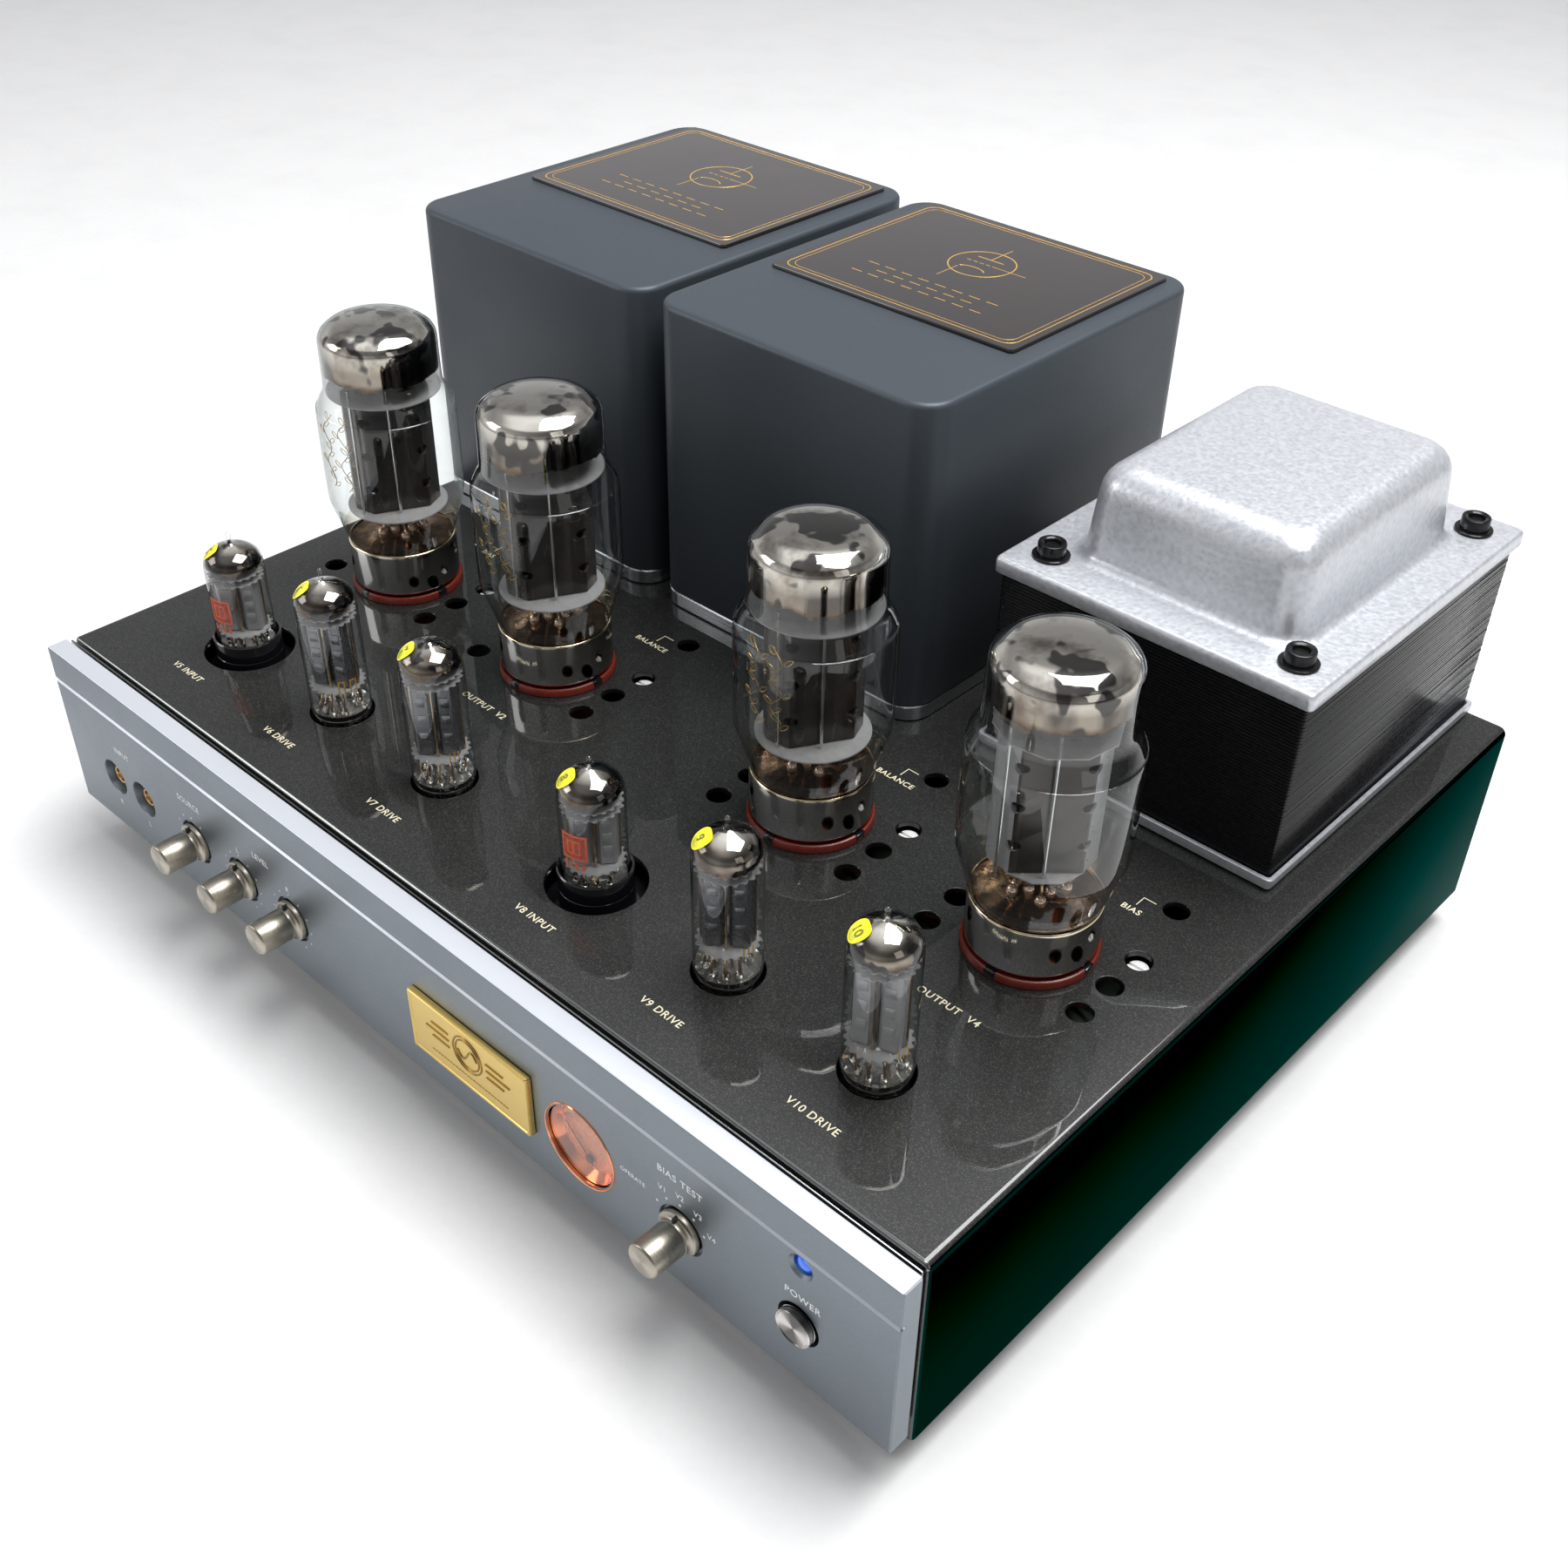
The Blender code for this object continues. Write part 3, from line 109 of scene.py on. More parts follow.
def spline(points, count=6):
    """A smooth curve through the points, with count steps between each two."""
    ends = [points[0], *points, points[-1]]
    smooth = []
    for a, b, c, d in zip(ends, ends[1:], ends[2:], ends[3:]):
        for step in range(count):
            t = step / count
            smooth.append(
                tuple(
                    0.5
                    * (
                        2 * q
                        + (r - p) * t
                        + (2 * p - 5 * q + 4 * r - s) * t * t
                        + (3 * q - p - 3 * r + s) * t**3
                    )
                    for p, q, r, s in zip(a, b, c, d)
                )
            )
    smooth.append(tuple(points[-1]))
    return smooth


def rounded(width, depth, radius, centre=(0.0, 0.0), steps=8):
    """A rectangle's outline with round corners."""
    points = []
    for side_x, side_y, start in ((1, 1, 0), (-1, 1, 90), (-1, -1, 180), (1, -1, 270)):
        x = centre[0] + side_x * (width / 2 - radius)
        y = centre[1] + side_y * (depth / 2 - radius)
        for step in range(steps + 1):
            angle = radians(start + 90 * step / steps)
            points.append((x + radius * cos(angle), y + radius * sin(angle)))
    return points


def loft(rings):
    """A closed skin over rings with equal numbers of points."""
    mesh = bmesh.new()
    rows = [[mesh.verts.new(point) for point in ring] for ring in rings]
    for low, high in zip(rows, rows[1:]):
        for index in range(len(low)):
            after = (index + 1) % len(low)
            mesh.faces.new((low[index], low[after], high[after], high[index]))
    for row in (rows[0], rows[-1]):
        mesh.faces.new(row)
    bmesh.ops.recalc_face_normals(mesh, faces=mesh.faces)
    return mesh


def stack(levels, centre, steps=8):
    """Lofts round-cornered rectangles: (width, depth, corner radius, height)."""
    return loft([[(x, y, z) for x, y in rounded(w, d, r, centre, steps)] for w, d, r, z in levels])


def prism(outline, low, high, axis="Z"):
    def place(u, v, along):
        return {"X": (along, u, v), "Y": (u, along, v), "Z": (u, v, along)}[axis]

    return loft([[place(u, v, end) for u, v in outline] for end in (low, high)])


def block(low, high, edge=0.0, segments=2):
    """A box between two corners, with rounded edges."""
    mesh = bmesh.new()
    bmesh.ops.create_cube(mesh, size=1)
    size = Vector(high) - Vector(low)
    for vert in mesh.verts:
        vert.co = Vector(low) + Vector((vert.co[i] + 0.5) * size[i] for i in range(3))
    if edge:
        bmesh.ops.bevel(
            mesh, geom=mesh.edges[:], offset=edge, segments=segments, affect="EDGES", profile=0.5
        )
    return mesh


def sweep(points, radius, sides=6):
    """A round wire through the points."""
    mesh = bmesh.new()
    rows = []
    points = [Vector(p) for p in points]
    side = Vector((0.37, 0.61, 0.7))
    for index, point in enumerate(points):
        ahead = points[min(index + 1, len(points) - 1)] - points[max(index - 1, 0)]
        ahead.normalize()
        side = (side - ahead * side.dot(ahead)).normalized()
        other = ahead.cross(side)
        row = []
        for step in range(sides):
            angle = 2 * pi * step / sides
            row.append(mesh.verts.new(point + radius * (side * cos(angle) + other * sin(angle))))
        rows.append(row)
    for low, high in zip(rows, rows[1:]):
        for step in range(sides):
            after = (step + 1) % sides
            mesh.faces.new((low[step], low[after], high[after], high[step]))
    mesh.faces.new(rows[0])
    mesh.faces.new(rows[-1])
    bmesh.ops.recalc_face_normals(mesh, faces=mesh.faces)
    return mesh


def joined(meshes, tags=None):
    """One mesh from several, each whole mesh with its own material index if tags are given."""
    result = bmesh.new()
    for index, mesh in enumerate(meshes):
        if tags:
            for face in mesh.faces:
                face.material_index = tags[index]
        store = bpy.data.meshes.new("store")
        mesh.to_mesh(store)
        result.from_mesh(store)
        bpy.data.meshes.remove(store)
        mesh.free()
    return result


def spin(degrees, axis):
    return Matrix.Rotation(radians(degrees), 4, axis)


def moved(mesh, place):
    """Moves the mesh by a matrix or to a place."""
    matrix = place if isinstance(place, Matrix) else Matrix.Translation(place)
    bmesh.ops.transform(mesh, matrix=matrix, verts=mesh.verts)
    return mesh


def carve(mesh, cutters):
    """The mesh with the cutters, which don't overlap each other, cut out of it."""
    objects = []
    for index, part in enumerate((mesh, joined(cutters))):
        data = bpy.data.meshes.new("carve")
        part.to_mesh(data)
        part.free()
        item = bpy.data.objects.new(f"carve{index}", data)
        bpy.context.scene.collection.objects.link(item)
        objects.append(item)
    modifier = objects[0].modifiers.new("cut", "BOOLEAN")
    modifier.operation = "DIFFERENCE"
    modifier.object = objects[1]
    graph = bpy.context.evaluated_depsgraph_get()
    result = bmesh.new()
    result.from_mesh(objects[0].evaluated_get(graph).to_mesh())
    for item in objects:
        data = item.data
        bpy.data.objects.remove(item)
        bpy.data.meshes.remove(data)
    return result


def add(name, mesh, looks, body=ROOT, smooth=35, replaces=None):
    """Makes the piece, lets it ride on its body, and hides the imported node it replaces."""
    data = bpy.data.meshes.new(name)
    moved(mesh, Matrix.Scale(MM, 4)).to_mesh(data)
    mesh.free()
    for look in looks.split():
        data.materials.append(M[look])
    data.shade_smooth()
    data.set_sharp_from_angle(angle=radians(smooth))
    piece = bpy.data.objects.new(name, data)
    bpy.context.scene.collection.objects.link(piece)
    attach(piece, body)
    if replaces:
        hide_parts(replaces)


def text_mesh(text, size):
    """Flat lettering in XY, centred on the origin."""
    curve = bpy.data.curves.new("text", "FONT")
    curve.body = text
    curve.size = size
    curve.align_x = curve.align_y = "CENTER"
    curve.extrude = 0.015
    curve.offset = 0.035
    curve.space_character = 1.1
    curve.resolution_u = 3
    item = bpy.data.objects.new("text", curve)
    bpy.context.scene.collection.objects.link(item)
    graph = bpy.context.evaluated_depsgraph_get()
    mesh = bmesh.new()
    mesh.from_mesh(item.evaluated_get(graph).to_mesh())
    bpy.data.objects.remove(item)
    bpy.data.curves.remove(curve)
    return mesh


INK = 0.04


def on_front(mesh, x, z):
    """Stands a flat mesh on the front panel's face."""
    return moved(mesh, Matrix.Translation((x, FACE_Y - INK / 2, z)) @ spin(90, "X"))


def on_deck(mesh, x, y):
    return moved(mesh, (x, y, DECK_Z + INK / 2))


def wrap(mesh, profile, centre, turn, start, lift=0.05):
    """Wraps a flat mesh round a turned outline: +X runs round it, +Y up the outline from start."""
    lengths = [0.0]
    for a, b in zip(profile, profile[1:]):
        lengths.append(lengths[-1] + dist(a, b))
    for vert in mesh.verts:
        along = start - vert.co.y
        for index in range(len(profile) - 2):
            if lengths[index + 1] >= along:
                break
        share = (along - lengths[index]) / (lengths[index + 1] - lengths[index])
        (r0, z0), (r1, z1) = profile[index : index + 2]
        radius = r0 + (r1 - r0) * share
        height = z0 + (z1 - z0) * share
        normal = Vector((-(z1 - z0), r1 - r0)).normalized()
        out = lift + vert.co.z
        radius += normal.x * out
        height += normal.y * out
        angle = turn + vert.co.x / max(radius, 2)
        vert.co = Vector(centre) + Vector((radius * cos(angle), radius * sin(angle), height))
    return mesh


# Materials


M = {}


class Tree:
    """A material's nodes, with short ways to add and link them."""

    def __init__(self, name):
        self.material = M[name] = bpy.data.materials.new(name)
        self.material.use_nodes = True
        self.nodes = self.material.node_tree.nodes
        self.links = self.material.node_tree.links
        self.shader = self.nodes["Principled BSDF"]
        self.output = self.nodes["Material Output"]

    def node(self, kind, inputs=None, **settings):
        made = self.nodes.new("ShaderNode" + kind)
        for key, value in settings.items():
            setattr(made, key, value)
        for key, value in (inputs or {}).items():
            self.put(made.inputs[key], value)
        return made

    def math(self, operation, *values, **settings):
        return self.node("Math", dict(enumerate(values)), operation=operation, **settings).outputs[0]

    def put(self, socket, value):
        if isinstance(value, bpy.types.NodeSocket):
            self.links.new(value, socket)
        elif isinstance(value, tuple) and len(value) == 3 and socket.type == "RGBA":
            socket.default_value = (*value, 1)
        else:
            socket.default_value = value

    def place(self, stretch=(1, 1, 1)):
        coordinates = self.node("TexCoord").outputs["Object"]
        return self.node("Mapping", {"Vector": coordinates, "Scale": stretch}).outputs[0]

    def grain(self, scale, stretch=(1, 1, 1), detail=3.0, roughness=0.6):
        inputs = {"Vector": self.place(stretch), "Scale": scale, "Detail": detail, "Roughness": roughness}
        return self.node("TexNoise", inputs).outputs["Fac"]

    def spread(self, value, low, high, out_low, out_high):
        inputs = {
            "Value": value, "From Min": low, "From Max": high, "To Min": out_low, "To Max": out_high
        }
        return self.node("MapRange", inputs).outputs[0]

    def mix(self, factor, first, second):
        made = self.node("Mix", data_type="RGBA")
        self.put(made.inputs[0], factor)
        self.put(made.inputs[6], first)
        self.put(made.inputs[7], second)
        return made.outputs[2]

    def bump(self, height, strength, distance):
        return self.node(
            "Bump", {"Height": height, "Strength": strength, "Distance": distance}
        ).outputs[0]

    def set(self, **values):
        for key, value in values.items():
            self.put(self.shader.inputs[key.replace("_", " ")], value)


def surface(
    name, colour, rough, metal=0.0, other=None, grain=900, stretch=(1, 1, 1), bump=0.15, depth=0.05,
    coat=0.0, coat_rough=0.03, specular=0.5,
):
    """A Principled finish with a fine grain in colour, roughness and relief, and faint handling marks."""
    tree = Tree(name)
    fine = tree.grain(grain, stretch)
    broad = tree.grain(18, detail=4.0)
    other = other or tuple(c * 0.8 for c in colour)
    base = tree.mix(tree.spread(fine, 0.3, 0.7, 0, 1), colour, other)
    worn = tree.mix(tree.spread(broad, 0.45, 0.75, 0, 0.35), base, tuple(c * 0.85 for c in colour))
    uneven = tree.math("ADD", fine, broad)
    tree.set(
        Base_Color=worn,
        Metallic=metal,
        Roughness=tree.spread(uneven, 0.7, 1.3, max(rough - 0.07, 0.01), rough + 0.07),
        Normal=tree.bump(fine, bump, depth * MM),
        Coat_Weight=coat,
        Coat_Roughness=coat_rough,
        Specular_IOR_Level=specular,
    )


def flake_paint():
    """Near-black paint with very fine flakes under a clear coat."""
    tree = Tree("deck")
    cells = tree.node("TexVoronoi", {"Vector": tree.place(), "Scale": 3800.0})
    separate = tree.node("SeparateColor", {"Color": cells.outputs["Color"]})
    bright = tree.spread(separate.outputs[0], 0.7, 1.0, 0, 1)
    cloud = tree.grain(9, detail=3.0)
    shade = tree.mix(
        tree.spread(cloud, 0.35, 0.7, 0, 1), (0.004, 0.0045, 0.0042), (0.007, 0.0078, 0.0072)
    )
    tree.set(
        Base_Color=tree.mix(bright, shade, (0.05, 0.052, 0.046)),
        Metallic=tree.spread(separate.outputs[0], 0.6, 1.0, 0, 0.3),
        Roughness=0.55,
        Specular_IOR_Level=0.2,
        Coat_Weight=1.0,
        Coat_Roughness=0.012,
        Normal=tree.bump(separate.outputs[1], 0.1, 0.02 * MM),
        Coat_Normal=tree.bump(tree.grain(55, detail=1.5), 0.1, 0.03 * MM),
    )


def side_paint():
    """A mirror-smooth black-green finish that deepens towards the top, with a painted reflection: lighter
    green low on the sides, where the floor would shine in it.
    """
    tree = Tree("side")
    height = tree.node("SeparateXYZ", {"Vector": tree.node("TexCoord").outputs["Object"]}).outputs["Z"]
    cloud = tree.grain(5, detail=2.0)
    # painted reflection: a lighter green near the bottom that fades out towards the top, broken up by a
    # faint cloud
    uneven = tree.math("MULTIPLY", tree.spread(height, 0.0, 0.095, 0.75, 0.1), cloud)
    tree.set(
        Base_Color=tree.mix(
            tree.spread(uneven, 0.05, 0.4, 0, 1), (0.0, 0.01, 0.009), (0.0, 0.036, 0.031)
        ),
        Metallic=1.0,
        Roughness=0.07,
        Specular_Tint=(0.36, 0.405, 0.398),
        Normal=tree.bump(tree.grain(30, detail=1.0), 0.06, 0.05 * MM),
    )


def hammered(name, colour):
    """Silver paint with the small dimples of a hammer finish."""
    tree = Tree(name)
    dents = tree.node("TexVoronoi", {"Vector": tree.place(), "Scale": 520.0}, feature="SMOOTH_F1")
    waves = tree.grain(700, detail=3.0)
    relief = tree.math("ADD", dents.outputs["Distance"], waves)
    shade = tree.mix(tree.spread(relief, 0.6, 1.2, 0, 1), tuple(c * 0.84 for c in colour), colour)
    tree.set(
        Base_Color=shade,
        Metallic=0.6,
        Roughness=tree.spread(waves, 0.3, 0.7, 0.3, 0.42),
        Normal=tree.bump(relief, 0.4, 0.22 * MM),
        Coat_Weight=0.3,
        Coat_Roughness=0.12,
    )


def clear_glass(name, tint=(0.95, 0.97, 0.965), edge=(0.14, 0.17, 0.165)):
    """Thin clear glass: see-through, glossy, and darker where it is seen edge-on."""
    tree = Tree(name)
    tree.nodes.remove(tree.shader)
    facing = tree.node("LayerWeight", {"Blend": 0.5}).outputs["Facing"]
    rim = tree.math("POWER", facing, 3.2)
    clear = tree.node("BsdfTransparent", {"Color": tree.mix(rim, tint, edge)})
    ripple = tree.bump(tree.grain(38, detail=1.0), 0.12, 0.2 * MM)
    gloss = tree.node("BsdfGlossy", {"Color": (1.0, 1.0, 1.0), "Roughness": 0.015, "Normal": ripple})
    sharp = tree.math("POWER", facing, 4.5)
    mirror = tree.spread(sharp, 0, 1, 0.055, 0.9)
    mixed = tree.node("MixShader", {0: mirror, 1: clear.outputs[0], 2: gloss.outputs[0]})
    tree.links.new(mixed.outputs[0], tree.output.inputs["Surface"])


def getter_silver(name, edge_mm, spread_mm, depth_mm, painted_reflection_share, ragged, spot, start):
    """Silver flashed inside the glass above a ragged edge, bronze where thin, with black blotches painted
    in as reflections of dark surroundings.
    """
    tree = Tree(name)
    coordinates = tree.node("TexCoord").outputs["Object"]
    height = tree.node("SeparateXYZ", {"Vector": coordinates}).outputs["Z"]
    edge = (DECK_Z + edge_mm) * MM
    level = tree.spread(height, edge, edge + spread_mm * MM, 0, 1)
    share = ragged / spread_mm
    uneven = tree.spread(tree.grain(75, detail=4.0), 0.3, 0.7, -share, share)
    cover = tree.math("ADD", level, uneven, use_clamp=True)
    streaks = tree.grain(90, stretch=(1, 1, 0.3), detail=2.0)
    bronze = tree.mix(tree.spread(streaks, 0.42, 0.6, 0, 1), (0.3, 0.25, 0.2), (0.07, 0.055, 0.045))
    metal = tree.mix(
        tree.spread(height, edge + 6 * MM, edge + depth_mm * MM, 0, 1), bronze, (0.88, 0.81, 0.73)
    )
    tone = tree.mix(tree.spread(cover, 0.3, 1.0, 0, 1), (0.1, 0.05, 0.02), metal)
    # painted reflection: black blotches that stand for dark surroundings mirrored in the silver
    painted_dark_reflections = tree.spread(tree.grain(spot, detail=2.0), start, start + 0.03, 0, painted_reflection_share)
    tone = tree.mix(painted_dark_reflections, tone, (0.012, 0.01, 0.009))
    tree.set(
        Base_Color=tone,
        Metallic=1.0,
        Roughness=0.04,
        Normal=tree.bump(tree.grain(45, detail=1.0), 0.15, 0.25 * MM),
    )
    clear = tree.node("BsdfTransparent", {"Color": (1.0, 1.0, 1.0)})
    opaque = tree.spread(cover, 0.05, 0.3, 0, 1)
    mixed = tree.node("MixShader", {0: opaque, 1: clear.outputs[0], 2: tree.shader.outputs[0]})
    tree.links.new(mixed.outputs[0], tree.output.inputs["Surface"])


def mica():
    tree = Tree("mica")
    flaw = tree.grain(300, detail=4.0)
    tree.set(
        Base_Color=tree.mix(flaw, (0.32, 0.31, 0.312), (0.5, 0.485, 0.49)),
        Roughness=tree.spread(flaw, 0.3, 0.7, 0.25, 0.5),
        Alpha=0.62,
        Normal=tree.bump(flaw, 0.3, 0.1 * MM),
    )


def print_back():
    """Thin see-through red ink behind a printed frame."""
    tree = Tree("print_back")
    thin = tree.grain(260, detail=4.0)
    tree.set(Base_Color=(0.55, 0.1, 0.05), Roughness=0.5, Alpha=tree.spread(thin, 0.35, 0.6, 0.25, 0.7))


def lamp_blue():
    """A deep blue lens with a small bright core."""
    tree = Tree("lamp")
    facing = tree.node("LayerWeight", {"Blend": 0.5}).outputs["Facing"]
    glow = tree.mix(tree.spread(facing, 0.02, 0.22, 0, 1), (0.03, 0.42, 1.0), (0.0, 0.05, 0.4))
    tree.set(
        Base_Color=(0.0, 0.03, 0.2),
        Roughness=0.06,
        Coat_Weight=1.0,
        Emission_Color=glow,
        Emission_Strength=1.5,
        Normal=tree.bump(tree.grain(300), 0.1, 0.05 * MM),
    )


def turned_metal(name, colour, rough, axis, lines=9000, streak=0.75, relief=0.06, painted_highlight_sectors=0.0, phase=1.9):
    """Metal turned about an axis: fine rings, and, if asked for, painted highlight and shade in bright
    and dark wedges round the axis, where turned metal would catch and lose the light.
    """
    tree = Tree(name)
    stretch = {"Y": (0.02, 1, 0.02), "Z": (0.02, 0.02, 1)}[axis]
    rings = tree.grain(lines, stretch)
    stain = tree.grain(25, detail=4.0)
    base = tree.mix(tree.spread(stain, 0.35, 0.7, 0, 1), colour, tuple(c * 0.8 for c in colour))
    # painted highlight and shade: a bright and a dark pair of wedges round the axis, fixed in the colour
    if painted_highlight_sectors:
        parts = tree.node("SeparateXYZ", {"Vector": tree.node("TexCoord").outputs["Generated"]})
        across = tree.math("SUBTRACT", parts.outputs["X"], 0.5)
        second = parts.outputs["Z" if axis == "Y" else "Y"]
        upward = tree.math("SUBTRACT", second, 0.5)
        angle = tree.math("ARCTAN2", upward, across)
        doubled = tree.math("MULTIPLY_ADD", angle, 2.0, phase)
        wave = tree.math("SINE", doubled)
        base = tree.mix(
            tree.spread(wave, 0.1, 0.9, 0, painted_highlight_sectors), base, tuple(min(c * 2.2, 0.95) for c in colour)
        )
        base = tree.mix(
            tree.spread(wave, -0.1, -0.7, 0, painted_highlight_sectors * 0.8), base, tuple(c * 0.25 for c in colour)
        )
    tree.set(
        Base_Color=base,
        Metallic=1.0,
        Roughness=tree.spread(rings, 0.3, 0.7, rough - 0.04, rough + 0.04),
        Anisotropic=streak,
        Tangent=tree.node("Tangent", direction_type="RADIAL", axis=axis).outputs[0],
        Normal=tree.bump(rings, relief, 0.01 * MM),
    )


surface(
    "anodised", (0.21, 0.24, 0.265), 0.42, 0.9, other=(0.195, 0.222, 0.247), grain=2600, bump=0.1,
    depth=0.03
)
# a lighter copy of the anodised finish: painted highlight on the panel's upward faces
surface(
    "anodised_cut", (0.62, 0.645, 0.69), 0.38, 0.5, other=(0.58, 0.6, 0.65), grain=2600, bump=0.1,
    depth=0.03
)
flake_paint()
# bright metal for the deck's rounded front edge and lip: painted highlight
surface("fold", (0.25, 0.26, 0.255), 0.1, 1.0, other=(0.2, 0.21, 0.205), grain=1500, bump=0.05)
side_paint()
surface("rim", (0.03, 0.03, 0.03), 0.12, 0.6, grain=1500)
surface("inner_black", (0.012, 0.012, 0.012), 0.5)
surface(
    "can", (0.055, 0.066, 0.078), 0.45, 0.3, other=(0.048, 0.058, 0.069), grain=2200, bump=0.14,
    depth=0.04, specular=0.3
)
surface(
    "brushed", (0.62, 0.64, 0.66), 0.24, 1.0, grain=500, stretch=(0.05, 0.05, 6), bump=0.25, depth=0.03,
    other=(0.42, 0.43, 0.45)
)
surface("plate", (0.012, 0.007, 0.006), 0.12, 0.0, grain=40, bump=0.02, coat=0.7, coat_rough=0.02)
surface("gold_ink", (0.85, 0.5, 0.12), 0.32, 0.6, grain=4000, bump=0.1, depth=0.01)
surface("gold_dark", (0.4, 0.27, 0.08), 0.32, 0.6, grain=4000, bump=0.1, depth=0.01)
hammered("hammer", (0.6, 0.62, 0.655))
surface(
    "lamination", (0.005, 0.005, 0.006), 0.2, 0.0, grain=700, other=(0.012, 0.012, 0.013), specular=0.12
)
surface("black_screw", (0.012, 0.012, 0.013), 0.2, 0.5, grain=1500)
# the turned chrome and nickels below carry painted highlight and shade wedges
turned_metal("chrome", (0.62, 0.585, 0.545), 0.1, "Z", lines=5200, streak=0.4, painted_highlight_sectors=0.8, phase=4.26)
surface("rim_gold", (0.85, 0.7, 0.48), 0.1, 1.0, grain=900)
surface(
    "brown", (0.34, 0.21, 0.12), 0.15, 1.0, other=(0.05, 0.028, 0.015), grain=260, bump=0.5, depth=0.3
)
turned_metal("nickel_y", (0.36, 0.33, 0.275), 0.3, "Y", streak=0.6, painted_highlight_sectors=0.25)
turned_metal("nickel_dark", (0.36, 0.34, 0.33), 0.2, "Y", streak=0.9, painted_highlight_sectors=1.0)
surface("steel", (0.7, 0.7, 0.7), 0.2, 1.0, grain=1500)
surface("screw_white", (0.85, 0.85, 0.84), 0.25, 0.3, grain=1500)
surface("phenolic", (0.15, 0.018, 0.009), 0.3, 0.0, other=(0.11, 0.012, 0.007), grain=350)
surface("collar", (0.007, 0.007, 0.009), 0.12, 0.0, grain=900, bump=0.05, coat=0.6)
surface(
    "brass", (0.74, 0.54, 0.18), 0.32, 1.0, other=(0.71, 0.51, 0.165), grain=3000, bump=0.03, depth=0.01
)
# a darker copy of the brass: painted shade for the badge's raised relief
surface("brass_painted_shade", (0.36, 0.22, 0.05), 0.3, 1.0, grain=3000)
surface("copper", (0.9, 0.36, 0.17), 0.14, 1.0, other=(0.8, 0.31, 0.14), grain=1500, bump=0.05)
surface("dial", (0.8, 0.36, 0.22), 0.3, 0.45, other=(0.74, 0.33, 0.2), grain=220, bump=0.04)
surface("gold", (0.62, 0.4, 0.18), 0.22, 1.0, grain=1800)
surface("black_plastic", (0.014, 0.014, 0.015), 0.38, 0.0, grain=1600, bump=0.3)
surface("red_plastic", (0.45, 0.015, 0.012), 0.35, 0.0, grain=1600, bump=0.2)
surface("white_plastic", (0.75, 0.74, 0.7), 0.38, 0.0, grain=1600, bump=0.2)
surface("rubber", (0.02, 0.02, 0.02), 0.75, 0.0, grain=900, bump=0.5, depth=0.15)
surface("white_ink", (0.85, 0.85, 0.85), 0.5, 0.0, grain=3000, bump=0.05)
surface("cream_ink", (0.7, 0.64, 0.46), 0.5, 0.0, grain=3000, bump=0.05)
surface("brown_ink", (0.1, 0.03, 0.015), 0.5, 0.0, grain=3000, bump=0.05)
clear_glass("glass")
clear_glass("amber", (0.98, 0.94, 0.87), (0.7, 0.55, 0.38))
surface("bead", (0.85, 0.68, 0.56), 0.1, 0.8, other=(0.6, 0.42, 0.32), grain=300, bump=0.3)
surface("seal", (0.75, 0.73, 0.7), 0.08, 1.0, other=(0.5, 0.47, 0.44), grain=300, bump=0.3)
surface("button", (0.6, 0.58, 0.56), 0.07, 0.7, other=(0.25, 0.24, 0.23), grain=260, bump=0.7, depth=0.3)
clear_glass("window", (0.98, 0.93, 0.9), (0.9, 0.7, 0.6))
# each getter silver carries black blotches painted in as dark reflections
getter_silver("silver", 91.5, 2.5, 15, 0.9, 1.3, 62, 0.56)
getter_silver("silver_high", 94, 2.5, 13, 0.9, 1.3, 62, 0.56)
getter_silver("cap_0", 48, 2.5, 8, 0.97, 1.4, 95, 0.53)
getter_silver("cap_1", 37, 2.5, 8, 0.97, 1.4, 95, 0.53)
getter_silver("cap_2", 46, 2.5, 8, 0.97, 1.4, 95, 0.53)
mica()
surface("anode", (0.06, 0.052, 0.047), 0.2, 0.6, other=(0.042, 0.037, 0.033), grain=120, bump=0.1)
surface("anode_bronze", (0.14, 0.125, 0.118), 0.24, 0.7, other=(0.1, 0.09, 0.085), grain=120, bump=0.1)
surface("anode_side", (0.36, 0.35, 0.355), 0.34, 0.3, other=(0.31, 0.3, 0.305), grain=350, bump=0.12)
surface("anode_bright", (0.2, 0.195, 0.205), 0.26, 0.8, other=(0.16, 0.156, 0.164), grain=400, bump=0.12)
surface("anode_black", (0.025, 0.025, 0.027), 0.5, 0.3, grain=500)
surface("wire", (0.62, 0.45, 0.3), 0.16, 1.0, grain=700)
surface("print_red", (0.62, 0.09, 0.04), 0.45, 0.0, other=(0.7, 0.16, 0.07), grain=600)
print_back()
surface("sticker", (0.9, 0.85, 0.02), 0.4, 0.0, other=(0.85, 0.8, 0.02), grain=500)
surface("sticker_ink", (0.16, 0.16, 0.03), 0.5)
surface("black_ink", (0.02, 0.02, 0.02), 0.5)
lamp_blue()
surface("board", (0.02, 0.03, 0.02), 0.4, 0.0, grain=500)
surface("wire_red", (0.6, 0.05, 0.015), 0.4)


# Front panel, its controls and its markings

CONTROL_Z = PANEL_Z + 25
JACK_X = (-183.2, -162.5)
KNOBS = ("knob_selector", "knob_level_left", "knob_level_right", "knob_bias_test")


def rod(centre, radius, low, high, steps=64, axis="Z"):
    """A round bar or cutter from low to high along its axis."""
    mesh = bmesh.new()
    bmesh.ops.create_cone(
        mesh, cap_ends=True, segments=steps, radius1=radius, radius2=radius, depth=high - low
    )
    turn = {"Z": Matrix(), "Y": spin(90, "X"), "X": spin(90, "Y")}
    place = Vector(centre)
    place["XYZ".index(axis)] = (low + high) / 2
    return moved(mesh, Matrix.Translation(place) @ turn[axis])


